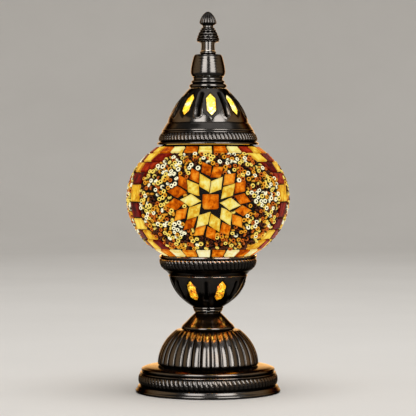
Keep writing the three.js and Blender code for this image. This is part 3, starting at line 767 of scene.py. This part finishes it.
def finial():
    """The finial: a skirt of four rows of scales, a ringed waist and a fluted bud."""
    bottom = low("finial")
    tip = high("finial")
    hem = bottom - 1.2
    skirt_top = bottom + 8.9
    bud_bottom = bottom + 12.6
    rows = 4
    scales = 12
    flutes = 16

    def pattern(r, z, azimuth):
        """How high the scales and the flutes stand, from 0 to 1, and where each of them is."""
        level = (z - hem - 1.0) / ((skirt_top - hem - 1.0) / rows)
        scallop = np.abs(np.sin(azimuth * scales / 2 + np.floor(level) * math.pi / 2))
        scale = np.sqrt(np.abs(np.sin(math.pi * (level - 0.3 * scallop))))
        flute = np.sqrt(np.maximum(0, 1 - (across(azimuth, 4.0, flutes) / (math.pi / flutes)) ** 2))
        skirt = (z > hem + 0.6) & (z < skirt_top) & (r > 5.4)
        return scale, scallop, flute, skirt, z > bud_bottom

    def carved(r, z, azimuth):
        scale, scallop, flute, skirt, bud = pattern(r, z, azimuth)
        taper = np.clip((tip - z) / 5, 0, 1)
        scaled = r - 0.9 + 1.1 * scale + 0.2 * scallop
        return np.where(skirt, scaled, np.where(bud, r - taper * (1 - flute), r))

    # Painted shade in the grooves between the scales and between the flutes.
    def sooty(r, z, azimuth):
        scale, _, flute, skirt, bud = pattern(r, z, azimuth)
        groove = np.where(skirt, 1 - scale, np.where(bud, 1 - flute, 0))
        return np.clip(1.4 * groove, 0, 1)

    outer = [(3.4, bottom), (5.9, bottom), (6.2, hem + 0.3)]
    flare = [(6.9, 0), (8.5, 0.7), (8.7, 2.2), (8.3, 4.0), (7.1, 7.0)]
    outer += flowing([*raised(flare, hem), (5.6, skirt_top)])
    outer += bead(4.7, bottom + 9.7, 0.7, 0.6, 8)
    outer += rounded([(4.2, bottom + 10.7), (4.1, bottom + 11.7, 0.3), (4.6, bud_bottom, 0.3)], 3)
    side = [(5.8, 0.5), (6.7, 1.6), (6.5, 3.2), (5.3, 6.2), (3.2, 9.0)]
    outer += flowing([*raised(side, bud_bottom), (1.3, tip - 0.35), (0, tip)])
    inner = [(0, tip - 15), (3.4, tip - 15)]
    options = {"segments": 280, "shape": carved, "soot": sooty, "sharp": 60}
    metal_piece("finial_carved", "lid", "finial", dense(outer, 0.16), inner, **options)


# ---- Glass globe and bulb ----


def globe_radius(height):
    """The globe is two half ellipsoids, a shallower one over a deeper one."""
    rise = GLOBE_RISE if height > GLOBE_MIDDLE else GLOBE_DROP
    return GLOBE_RADIUS * math.sqrt(max(0.0, 1 - ((height - GLOBE_MIDDLE) / rise) ** 2))


def on_globe(azimuth, height, inset=0.0):
    """A point on the globe, inset from its outside, and the outward normal there."""
    rise = GLOBE_RISE if height > GLOBE_MIDDLE else GLOBE_DROP
    radius = globe_radius(height)
    lean = Vector((radius / GLOBE_RADIUS**2, (height - GLOBE_MIDDLE) / rise**2)).normalized()
    ahead = Vector((math.sin(azimuth), -math.cos(azimuth), 0))
    normal = ahead * lean.x + Vector((0, 0, lean.y))
    return ahead * radius + Vector((0, 0, height)) - normal * inset, normal


def globe_outline(inset, bottom, top, steps=60):
    """One surface of the globe, from one height to another."""
    heights = [bottom + (top - bottom) * step / steps for step in range(steps + 1)]
    return [(-point.y, point.z) for point, _ in (on_globe(0, height, inset) for height in heights)]


def globe_glass():
    """The blown globe with its two necks, lit from inside."""
    bottom, top = span("globe_glass")
    outer = [(27.8, bottom), (29.4, bottom), (29.8, bottom + 0.5)]
    outer += globe_outline(3.1, 105.4, 201.5)
    outer += flowing([(25.9, 203.8), (24.6, 206.4), (24.3, 210)], 4)
    outer += rounded([(24.3, top, 0.8), (22.4, top, 0.8)], 4)
    inner = [(22.2, 206)]
    inner += list(reversed(globe_outline(5.3, 108, 199)))
    piece = turned("globe_glass_blown", outer, inner, segments=160)
    finish_piece(piece, "globe", [GLOBE_GLASS, GLOBE_GLASS], ["globe_glass"])


def bulb_glass():
    """The envelope of the bulb: a neck, a shoulder and a ball."""
    bottom = low("bulb_glass")
    radius = reach("bulb_glass")
    middle = high("bulb_glass") - radius
    outer = [(7.6, bottom), (8.4, bottom), (8.4, bottom + 3)]
    outer += flowing([(8.6, middle - 27), (10.6, middle - 22.6), (14.6, middle - 17.2)], 6)
    start = -math.asin(17.2 / radius)
    for step in range(1, 33):
        a = start + (math.pi / 2 - start) * step / 32
        outer.append((radius * math.cos(a), middle + radius * math.sin(a)))
    outer[-1] = (0, middle + radius)
    inner = [(0, middle + radius - 0.8), (14, middle + 16), (radius - 0.9, middle), (13.6, middle - 16)]
    inner += [(7.6, middle - 27)]
    piece = turned("bulb_envelope", outer, inner, segments=96, sharp=80)
    finish_piece(piece, "bulb", [BULB_GLASS, BULB_GLASS], ["bulb_glass"])


# ---- Mosaic ----

STAR_HEIGHT = 152.8
STAR_CENTRES = (1.8, 124.5, -121.0)  # azimuths of the three stars
BORDER_CENTRES = (-64.5, 68.5, 181.5)  # azimuths of the three borders between them
BAND_TOP = (191.9, 196.4)
BAND_BOTTOM = (108.4, 113.2)
GROUT_INSET = 2.2
TILE_FACE = 0.75
TILE_BACK = 2.4
GAP = 0.8  # width of the grout lines inside the star
NEIGHBOUR_REACH = 14  # tiles of one kind nearer than this are kept apart
OVERLAP_REACH = 17  # and an orange tile nearer than this to a pale one is cut back
LUMPS = ((61, 0.9), (37, -1.7), (89, 2.3))  # waves of the grout: round the globe, and up it
CHIP = 0.11  # how far the points along a tile's edge stray
CHIP_SPACING = 2.2
BORDER_SLACK = 0.75  # from the side of a border's tile to its place's edge
ROW_SLACK = 0.25
JITTER = 0.35  # how far a tile's corners stray, in degrees
BEAD_TRIES = 40000
BEAD_SPACING = 2.7
BEAD_RADIUS = 1.78
BEAD_HALF = 0.98  # half a bead's length
LYING_SHARE = 0.38  # of the beads, how many lie on their side
BEAD_CLEARANCE = 1.35  # from a bead's middle to a tile of a star
STAR_MIDDLE = 13.5  # no bead lies nearer than this to a star's centre

# Each colour of tile: its name, slot, strength, and the stops of its colour ramp
TILE_FINISHES = (
    ("pale", "tile_yellow", 0.9, (0.34, 228, 168, 36), (0.46, 250, 226, 96), (0.6, 255, 250, 168)),
    ("amber", "tile_yellow", 0.95, (0.32, 190, 112, 10), (0.46, 242, 186, 36), (0.64, 255, 228, 92)),
    ("orange", "tile_orange", 0.95, (0.35, 150, 54, 0), (0.48, 232, 114, 6), (0.62, 255, 172, 46)),
    ("cream", "tile_yellow", 0.92, (0.34, 240, 206, 110), (0.47, 252, 240, 168), (0.62, 255, 252, 214)),
    ("red", "tile_red", 0.72, (0.32, 60, 3, 0), (0.5, 138, 14, 3), (0.7, 206, 60, 12)),
)
# Each shade of bead: its name, the lowest draw that gives it, its glow, strength and hole's glow, dimmed as
# painted shade
BEAD_SHADES = (
    ("white", 0.77, (255, 247, 204), 1.05, (60, 28, 4)),
    ("pale", 0.53, (255, 222, 100), 0.95, (54, 22, 3)),
    ("amber", 0.3, (244, 164, 34), 0.85, (40, 14, 2)),
    ("brown", 0.1, (218, 106, 14), 0.75, (26, 8, 1)),
    ("dark", -math.inf, (96, 36, 4), 0.5, (8, 2, 1)),
)

SQUARE_HALF = (6.2, 5.8)
PALE_SIZE = (16.2, 9.8)  # length and width of a star's pale tiles
# Each pale tile: azimuth round the star, distance from its centre, lean of its long diagonal
PALE_TILES = (
    (106.6, 15.4, 11), (71.2, 13.9, -20), (31, 16, 17), (-7, 15.6, 0), (-42.8, 16.6, -22),
    (-78.4, 16.9, 15), (-111.4, 15.4, -21), (-148.8, 15.2, 18), (176.2, 15.7, 0), (141.9, 17.2, -17),
)
# The same for each orange tile, then its own length and width
ORANGE_TILES = (
    (96.8, 26, 22, 12, 9), (77.9, 24, -43, 13, 10), (50, 23.2, -6, 13, 10), (26.3, 26.1, 23, 13, 10),
    (5.1, 25.3, -25, 13.4, 9), (-15.7, 26.6, 18, 13.2, 8.4), (-35.8, 26.1, -18, 13.2, 9),
    (-61.3, 24.9, -2, 11.5, 9), (-89.1, 25.1, 33, 13, 9), (-109.6, 24.5, -30, 12, 8.6),
    (-132.3, 23.8, -3, 14, 8), (-156.4, 25.4, 24, 14.5, 8.7), (-175.4, 28, 5, 15.4, 9.3),
    (163.6, 27.3, 14, 15, 9.5), (144.6, 26.4, -26, 13.2, 8.4), (120.2, 23.7, -4, 12.7, 9.7),
)

dice = random.Random(7)
tiles = {colour: [] for colour, *_ in TILE_FINISHES}


def clip(polygon, point, normal):
    """The part of a convex polygon on the far side of a line from its normal."""
    kept = []
    for i, here in enumerate(polygon):
        before = polygon[i - 1]
        d_here = (here - point).dot(normal)
        d_before = (before - point).dot(normal)
        if (d_here < 0) != (d_before < 0):
            kept.append(before.lerp(here, d_before / (d_before - d_here)))
        if d_here < 0:
            kept.append(here)
    return kept


def centroid(polygon):
    """The mean of a polygon's corners."""
    return sum(polygon, Vector((0, 0))) / len(polygon)


def rhombus(angle, middle, length, width, tilt):
    """A rhombus round a point out from the star's centre, its length tilted from the radius."""
    along = Vector((math.cos(angle + tilt), math.sin(angle + tilt)))
    sideways = Vector((-along.y, along.x))
    centre = Vector((math.cos(angle), math.sin(angle))) * middle
    return [
        centre - along * length / 2,
        centre - sideways * width / 2,
        centre + along * length / 2,
        centre + sideways * width / 2,
    ]


def keep_apart(polygons, gap):
    """Neighbours that would touch are cut back along the line midway between them."""
    centres = [centroid(polygon) for polygon in polygons]
    for i, polygon in enumerate(polygons):
        for j, other in enumerate(centres):
            away = other - centres[i]
            if i != j and away.length < NEIGHBOUR_REACH:
                line = (centres[i] + other) / 2 - away.normalized() * gap / 2
                polygon = clip(polygon, line, away.normalized())
        polygons[i] = polygon


def edges(polygon):
    """Each corner of a polygon, and the outward normal of the edge that ends there."""
    for i, corner in enumerate(polygon):
        edge = corner - polygon[i - 1]
        yield corner, Vector((edge.y, -edge.x)).normalized()


def keep_off(polygon, others, gap):
    """The polygon cut back from others along whichever of their edges faces it most."""
    for other in others:
        centre = centroid(polygon)
        corner, normal = max(edges(other), key=lambda edge: (centre - edge[0]).dot(edge[1]))
        if (centroid(other) - centre).length < OVERLAP_REACH:
            polygon = clip(polygon, corner + normal * gap, -normal)
    return polygon


def star_polygons():
    """The flat shapes of one star, as (colour, polygon): a square, ten points and sixteen."""
    square = []
    for sx, sy, cut_back in ((-1, -1, 1.4), (1, -1, 1.4), (1, 1, 0.4), (-1, 1, 0.4)):
        corner = Vector((sx * SQUARE_HALF[0], sy * SQUARE_HALF[1]))
        first = Vector((corner.x, corner.y - sy * cut_back))
        second = Vector((corner.x - sx * cut_back, corner.y))
        square += [first, second] if sx * sy > 0 else [second, first]
    pale = []
    for angle, middle, lean in PALE_TILES:
        pale.append(rhombus(math.radians(angle), middle, *PALE_SIZE, math.radians(lean)))
    keep_apart(pale, 0.5)
    orange = []
    for angle, middle, lean, length, width in ORANGE_TILES:
        shape = rhombus(math.radians(angle), middle, length, width, math.radians(lean))
        orange.append(keep_off(shape, pale, GAP))
    keep_apart(orange, GAP)
    return [("orange", square)] + [("pale", p) for p in pale] + [("orange", p) for p in orange]


def star_point(centre, point, inset):
    """The flat drawing of a star laid on the globe, as it shows from straight in front."""
    height = STAR_HEIGHT + point.y
    radius = globe_radius(height)
    return on_globe(centre + math.asin(max(-1, min(1, point.x / radius))), height, inset)


def lay_tile(colour, corners, normal):
    """Keeps a tile's outline, flattened on to the plane through its middle."""
    middle = sum(corners, Vector()) / len(corners)
    flat = [corner - normal * (corner - middle).dot(normal) for corner in corners]
    tiles[colour].append((flat, normal, dice.random()))


def star(centre):
    """Lays one star and returns its flat shapes, which the beads stay off."""
    shapes = star_polygons()
    for colour, polygon in shapes:
        _, normal = star_point(centre, centroid(polygon), 0)
        lay_tile(colour, [star_point(centre, corner, TILE_FACE)[0] for corner in polygon], normal)
    return [polygon for _, polygon in shapes]


def quad(colour, left, right, bottom, top):
    """Lays a four-sided tile. left and right are azimuths in degrees at its foot and its head."""
    corners = []
    for azimuth, height in ((left[0], bottom), (right[0], bottom), (right[1], top), (left[1], top)):
        jitter = dice.uniform(-JITTER, JITTER)
        corners.append(on_globe(math.radians(azimuth + jitter), height + jitter / 2, TILE_FACE)[0])
    _, normal = on_globe(math.radians((sum(left) + sum(right)) / 4), (bottom + top) / 2)
    lay_tile(colour, corners, normal)


def band(heights, count, turn, colours, gap):
    """A ring of tiles round the globe, at its top or its foot."""
    half = 180 / count - gap
    for i in range(count):
        centre = turn + i * 360 / count
        quad(colours[i % len(colours)], [centre - half] * 2, [centre + half] * 2, *heights)


def border_half(height):
    """Half the width of a border, in degrees: narrow about the equator, wider above and below."""
    return 7.4 + 1.1 * max(0.0, height - 171.5) + 0.85 * max(0.0, 132.5 - height)


# Rows of a border from its foot up: the heights, and the colours in each of the two columns seen
BORDER_ROWS = (
    ((113.9, 121.2), ("red", "amber", "red"), ("amber", "red", "amber")),
    ((122.0, 129.2), ("red", "amber"), ("amber", "red")),
    ((130.0, 138.8), ("amber",), ("red",)),
    ((139.6, 151.4), ("red",), ("red",)),
    ((152.2, 166.0), ("amber",), ("amber",)),
    ((166.8, 175.6), ("red",), ("red",)),
    ((176.4, 184.0), ("amber", "red"), ("red", "amber")),
    ((184.8, 191.2), ("red", "amber", "red"), ("amber", "red", "orange")),
)


def border(centre, column):
    """A column of tiles between two stars."""
    for (bottom, top), *columns in BORDER_ROWS:
        colours = columns[column]
        ends = [(border_half(z), math.degrees(BORDER_SLACK / globe_radius(z))) for z in (bottom, top)]
        width = 2 / len(colours)
        for i, colour in enumerate(colours):
            left = [centre + half * (i * width - 1) + slack for half, slack in ends]
            right = [centre + half * ((i + 1) * width - 1) - slack for half, slack in ends]
            quad(colour, left, right, bottom + ROW_SLACK, top - ROW_SLACK)


def tile_mesh(name, laid):
    """Every tile of one colour: chipped straight sides, a small bevel and a flat face."""
    vertices = []
    faces = []
    tints = []
    rims = []
    bevel = 0.35
    # Layers of a tile's side, from its back to its face: how far in each lies, and how deep
    layers = ((0.0, TILE_BACK - TILE_FACE), (0.0, bevel), (bevel * 0.35, bevel * 0.3), (bevel, 0.0))
    for corners, normal, tint in laid:
        outline = []
        for corner, following in zip(corners, [*corners[1:], corners[0]]):
            parts = max(1, round((following - corner).length / CHIP_SPACING))
            for part in range(parts):
                chip = Vector([dice.uniform(-CHIP, CHIP) for _ in range(3)])
                outline.append(corner.lerp(following, part / parts) + chip - normal * chip.dot(normal))
        middle = sum(outline, Vector()) / len(outline)
        count = len(outline)
        start = len(vertices)
        for inset, depth in layers:
            for point in outline:
                vertices.append(point + (middle - point).normalized() * inset - normal * depth)
        vertices += [point.lerp(middle, 0.3) for point in outline]
        vertices.append(middle)
        columns = [(k, (k + 1) % count) for k in range(count)]
        for layer in range(start, start + len(layers) * count, count):
            faces += [[layer + k, layer + n, layer + n + count, layer + k + count] for k, n in columns]
        face_ring = start + len(layers) * count
        faces += [[face_ring + k, face_ring + n, face_ring + count] for k, n in columns]
        faces.append([start + k for k in reversed(range(count))])
        tints += [tint] * (len(vertices) - start)
        rims += [1.0] * (len(layers) * count) + [0.15] * count + [0.0]
    made = make_mesh(name, vertices, faces, 30)
    store(made, "tint", tints)
    store(made, "rim", rims)
    return made


def inside_polygon(point, polygon, margin):
    """Whether a point is within the margin of a convex polygon."""
    return all((point - corner).dot(normal) <= margin for corner, normal in edges(polygon))


def apart(azimuth, other):
    """Signed angle in degrees from one azimuth to another."""
    return (azimuth - other + 180) % 360 - 180


def bead_places(stars):
    """Where the beads go: scattered over what the tiles leave free, never crowding each other."""
    places = []
    cells = {}
    for _ in range(BEAD_TRIES):
        height = dice.uniform(BAND_BOTTOM[1] + 1.6, BAND_TOP[0] - 1.2)
        radius = globe_radius(height)
        if dice.random() > radius / GLOBE_RADIUS + 0.12:
            continue
        azimuth = dice.uniform(-180, 180)
        border_away = min(abs(apart(azimuth, centre)) for centre in BORDER_CENTRES)
        if border_away < border_half(height) + math.degrees(1.3 / radius):
            continue
        nearest = min(range(len(stars)), key=lambda k: abs(apart(azimuth, STAR_CENTRES[k])))
        sideways = math.radians(apart(azimuth, STAR_CENTRES[nearest]))
        if abs(sideways) < math.pi / 2:
            flat = Vector((math.sin(sideways) * radius, height - STAR_HEIGHT))
            taken = any(inside_polygon(flat, polygon, BEAD_CLEARANCE) for polygon in stars[nearest])
            if taken or flat.length < STAR_MIDDLE:
                continue
        point, normal = on_globe(math.radians(azimuth), height, GROUT_INSET)
        cell = [int(part // BEAD_SPACING) for part in point]
        nearby = itertools.product(*((part - 1, part, part + 1) for part in cell))
        others = itertools.chain.from_iterable(cells.get(key, ()) for key in nearby)
        if any((other - point).length < BEAD_SPACING for other in others):
            continue
        cells.setdefault(tuple(cell), []).append(point)
        places.append((point, normal))
    return places


def bead_shade(point):
    """The beads are mixed, with faint drifts of one shade, and painted shade makes them darker low on the
    globe.
    """
    drift = noise.noise(point * 0.06 + Vector((3.1, 7.7, 1.3)))
    # Painted shade: darker beads are drawn more often low on the globe.
    painted_shade_below = max(0.0, (GLOBE_MIDDLE - 22 - point.z) / 50)
    value = 0.5 + 0.36 * drift + dice.uniform(-0.5, 0.5) - painted_shade_below
    return next(shade for shade, limit, *_ in BEAD_SHADES if value > limit)


def bead_mesh(name, placed):
    """Every bead of one shade: a rounded ring with a straight hole. Its hole is the second material, which
    glows dimmer as painted shade.
    """
    around = 14
    wall = [(0.82, 0.6), (1.12, BEAD_HALF), (1.5, 0.88), (BEAD_RADIUS, 0.45)]
    section = [(0.78, 0.0), *wall, *((radius, -level) for radius, level in reversed(wall))]
    middle_radius = (section[0][0] + BEAD_RADIUS) / 2
    count = len(section)
    vertices = []
    faces = []
    marks = []
    rims = []
    for point, normal in placed:
        lying = dice.random() < LYING_SHARE
        tilt = math.radians(dice.uniform(58, 90) if lying else dice.uniform(0, 38))
        spin = dice.uniform(0, 2 * math.pi)
        tangent = normal.orthogonal().normalized()
        axis = Matrix.Rotation(spin, 3, normal) @ (Matrix.Rotation(tilt, 3, tangent) @ normal)
        side = axis.orthogonal().normalized()
        other = axis.cross(side)
        size = dice.uniform(0.82, 1.05)
        stands_out = size * (BEAD_RADIUS * math.sin(tilt) + BEAD_HALF * math.cos(tilt))
        centre = point + normal * min(0.85 * size, GROUT_INSET - 0.05 - stands_out)
        start = len(vertices)
        for step in range(around):
            a = 2 * math.pi * step / around
            ahead = side * math.cos(a) + other * math.sin(a)
            here = start + step * count
            there = start + ((step + 1) % around) * count
            for k, (radius, level) in enumerate(section):
                vertices.append(centre + (ahead * radius + axis * level) * size)
                # Painted shade: the glow dims where the bead's surface turns down towards the grout.
                outward = (ahead * (radius - middle_radius) + axis * level).normalized()
                rims.append(1 - min(1, max(0, outward.dot(normal) * 1.3)))
                following = (k + 1) % count
                faces.append([here + k, here + following, there + following, there + k])
                marks.append(int(k in (0, count - 1)))
    made = make_mesh(name, vertices, faces, 80)
    made.data.polygons.foreach_set("material_index", marks)
    store(made, "rim", rims)
    return made


def grout_skin():
    """The grout between the tiles and beads: a skin a little lower than they are, slightly lumpy."""
    bottom = CUP_LIP - 2.4
    top = LID_LIP + 1.8
    outer = globe_outline(GROUT_INSET, bottom, top, 130)

    def lumpy(r, z, azimuth):
        return r + 0.1 * sum(np.sin(azimuth * turns + z * rise) for turns, rise in LUMPS)

    inner = list(reversed(globe_outline(GROUT_INSET + 0.7, bottom + 0.6, top - 0.6, 40)))
    piece = turned("mosaic_grout", outer, inner, segments=320, shape=lumpy, sharp=80)
    return finish_piece(piece, "globe", [GROUT, GROUT], ["mosaic_skin"])


def mosaic():
    """Grout, cut tiles and beads. Returns every piece."""
    stars = [star(math.radians(centre)) for centre in STAR_CENTRES]
    for centre, column in zip(BORDER_CENTRES, (0, 1, 0)):
        border(centre, column)
    band(BAND_TOP, 24, -2.5, ("pale", "orange", "pale", "red", "amber", "orange", "pale", "orange"), 1.1)
    band(BAND_BOTTOM, 22, -4.6, ("cream", "orange"), 1.2)
    pieces = [grout_skin()]
    for colour, slot, strength, *stops in TILE_FINISHES:
        material = tile_glass("tile_" + colour, toned(*stops), strength)
        piece = tile_mesh("mosaic_tiles_" + colour, tiles[colour])
        pieces.append(finish_piece(piece, "globe", [material]))
    shades = {shade: [] for shade, *_ in BEAD_SHADES}
    for point, normal in bead_places(stars):
        shades[bead_shade(point)].append((point, normal))
    for shade, _, glow, strength, hole in BEAD_SHADES:
        piece = bead_mesh("mosaic_beads_" + shade, shades[shade])
        outside = bead_glass("bead_" + shade, tone(*glow), strength)
        # The hole's glass glows dimmer: painted shade inside the hole.
        inside = bead_glass("bead_hole_" + shade, tone(*hole), strength)
        pieces.append(finish_piece(piece, "globe", [outside, inside]))
    return pieces


# ---- Carried-over CAD nodes ----

STEEL_NODES = "bottom_nut bottom_washer stem_pipe cup_washer cup_nut bulb_contact lid_washer lid_nut"
KEPT = {
    "rubber": (RUBBER, "foot_pad cord_bush seat_gasket lid_gasket"),
    "cast_iron": (IRON, "base_weight"),
    "plated_steel": (STEEL, STEEL_NODES + " finial_rod"),
    "brass": (BRASS, "lampholder_screw lampholder_contact bulb_cap"),
    "holder_plastic": (HOLDER_PLASTIC, "lampholder_cap lampholder_shell bulb_insulator"),
    "ceramic": (CERAMIC, "lampholder_core"),
    "bulb_glass": (BULB_GLASS, "bulb_stem"),
    "filament": (FILAMENT, "bulb_filament"),
}


def repaint_kept():
    """Better materials for the CAD pieces whose shape stays."""
    for slot, (material, names) in KEPT.items():
        for name in names.split():
            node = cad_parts[name]
            node.data.materials.clear()
            node.data.materials.append(material)


# ---- Studio ----


def aimed(obj, location, target):
    """Puts an object in place, with its -Z pointing at the target."""
    obj.location = location
    direction = Vector(target) - Vector(location)
    obj.rotation_euler = direction.to_track_quat("-Z", "Y").to_euler()
    bpy.context.scene.collection.objects.link(obj)
    return obj


def camera():
    """The photograph's viewing angle: level with the globe, a little above its middle."""
    data = bpy.data.cameras.new("camera")
    data.sensor_width = 36
    data.lens = 156.9
    made = aimed(bpy.data.objects.new("camera", data), (0, -1.45, 0.1756), (0, 0, 0.1468))
    bpy.context.scene.camera = made


def round_axis(azimuth, radius, height):
    """The point at an azimuth in radians, from the front of the lamp, in metres."""
    return Vector((radius * math.sin(azimuth), -radius * math.cos(azimuth), height))


def area_light(name, size, radiance, colour, location, target, receivers):
    """A rectangular light that the camera doesn't see, given its (width, height) and radiance."""
    data = bpy.data.lights.new(name, "AREA")
    data.shape = "RECTANGLE"
    data.size, data.size_y = size
    data.energy = radiance * math.pi * size[0] * size[1]
    data.color = colour
    made = aimed(bpy.data.objects.new(name, data), location, target)
    made.visible_camera = False
    made.light_linking.receiver_collection = receivers


def glow_ring(name, count, radius, height, side, radiance, receivers):
    """A ring of small warm lights, facing down, for the light that the globe's tiles throw."""
    for i in range(count):
        where = round_axis(2 * math.pi * (i + dice.uniform(0.2, 0.8)) / count, radius, height)
        own_radiance = radiance * dice.uniform(0.2, 1.0)
        colour = GLOW_COLOURS[i % len(GLOW_COLOURS)]
        target = (where.x * 0.8, where.y * 0.8, 0)
        area_light(f"{name}_{i}", (side, side), own_radiance, colour, where, target, receivers)


def receiver_group(name, receivers, state):
    """What a light falls on: some objects only, or all but them. The state is INCLUDE or EXCLUDE."""
    group = bpy.data.collections.new(name)
    for receiver in receivers:
        group.objects.link(receiver)
    for member in group.collection_objects:
        member.light_linking.link_state = state
    return group


# The soft lights: name, azimuth, height of the middle, size, radiance, colour
WHITE = (1, 1, 1)
SOFTBOXES = (
    ("left_softbox", -24, 0.6, (0.5, 1.15), 30, WHITE),
    ("right_softbox", 33, 0.6, (0.53, 1.15), 30, WHITE),
    ("warm_wall", 180, 0.3, (1.3, 0.6), 3.2, (1.0, 0.5, 0.12)),
    ("warm_left", -100, 0.4, (1.8, 1.0), 2.9, (1.0, 0.7, 0.4)),
    ("warm_right", 104, 0.4, (1.8, 1.0), 2.9, (1.0, 0.7, 0.4)),
)
SOFTBOX_DISTANCE = 0.9
OVERHEAD_SIZE = 2.4
MOSAIC_SHARE = 0.055  # how much of the soft lights reaches the mosaic, which shines by its own light
GLOW_COLOURS = ((1.0, 0.6, 0.1), (1.0, 0.24, 0.02), (1.0, 0.42, 0.05), (0.6, 0.12, 0.01))
ROOM_RADIUS = 4.0
ROOM_WALL = 3.0
ROOM_SWEEP = 1.4  # radius of the curve from the floor up into the wall


def room():
    """A pale floor that curves up into a wall all round."""
    path = [(0.0, 0.0), (0.5, 0.0), (1.5, 0.0)]
    for step in range(17):
        a = math.pi / 2 * step / 16
        radius = ROOM_RADIUS - ROOM_SWEEP + ROOM_SWEEP * math.sin(a)
        path.append((radius, ROOM_SWEEP - ROOM_SWEEP * math.cos(a)))
    path.append((ROOM_RADIUS, ROOM_WALL))
    path = [(r / MM, z / MM) for r, z in reversed(path)]
    floor = turned("floor", path, segments=96, closed=False, sharp=80)
    material, tree, shader = new_material("floor", roughness=0.7)
    shade = ramp(tree, cloud(tree, 3, 4), (0.3, (0.74, 0.72, 0.69, 1)), (0.7, (0.78, 0.76, 0.73, 1)))
    feed(shader, base_color=shade)
    bump(tree, shader, cloud(tree, 900, 3), 0.15, 0.0002)
    floor.data.materials.append(material)
    return floor


def studio(mosaic_pieces):
    """The room, a pale sky, and soft lights that spare the floor and mostly spare the mosaic."""
    floor = room()
    world = bpy.data.worlds.new("studio")
    world.use_nodes = True
    sky = world.node_tree.nodes["Background"]
    sky.inputs["Color"].default_value = (1.0, 0.97, 0.93, 1)
    sky.inputs["Strength"].default_value = 0.42
    bpy.context.scene.world = world
    bpy.context.scene.view_settings.view_transform = "Standard"
    plain_parts = receiver_group("plain_parts", [floor, *mosaic_pieces], "EXCLUDE")
    only_mosaic = receiver_group("only_mosaic", mosaic_pieces, "INCLUDE")
    for receivers, share in ((plain_parts, 1), (only_mosaic, MOSAIC_SHARE)):
        for name, azimuth, middle, size, radiance, colour in SOFTBOXES:
            where = round_axis(math.radians(azimuth), SOFTBOX_DISTANCE, middle)
            area_light(name, size, radiance * share, colour, where, (0, 0, middle), receivers)
    off_mosaic = receiver_group("off_mosaic", mosaic_pieces, "EXCLUDE")
    area_light(
        "overhead", (OVERHEAD_SIZE, OVERHEAD_SIZE), 2.5, WHITE, (0.3, -0.3, 2.4), (0, 0, 0), off_mosaic
    )
    glow_ring("glow", 26, 0.0525, 0.1125, 0.0065, 125, plain_parts)
    glow_ring("under_glow", 16, 0.0345, 0.09, 0.009, 75, plain_parts)


camera()
foot()
ribbed_ring("foot_ribs", "stand", (53.2, 5.9), (53.2, 14.8), 86, 1.2, 1.4, 0.35)
fluted_dome()
metal_piece("dome_ring", "stand", "dome_collar", dense(ring_outline("dome_collar", 6, 1.4, 14), 1.0))
neck()
cup()
ribbed_ring("cup_ribs", "stand", (34.9, 98.3), (37.4, 106.8), 64, 1.4, 1.0, 0.3)
lid()
ribbed_ring("lid_ribs", "lid", (38.3, 200.1), (36.0, 206.9), 72, 1.3, 0.6, 0.25)
cup_profile = [(16.8, 74.5), (20.0, 76.4), (24.6, 82.2), (27.2, 88.3), (28.2, 92.7)]
film_liner("cup_film", "stand", "cup_liner", cup_profile, CUP_FILM)
lid_profile = [(29.0, 216.8), (27.6, 221.2), (25.2, 227.0), (20.8, 233.0), (16.6, 237.4)]
film_liner("lid_film", "lid", "lid_liner", lid_profile, LID_FILM)
lid_beads()
turret()
metal_piece("finial_ring", "lid", "finial_collar", ring_outline("finial_collar", 3.5, 0.9, 12), segments=96)
finial_stem()
finial()
globe_glass()
bulb_glass()
mosaic_pieces = mosaic()
repaint_kept()
studio(mosaic_pieces)
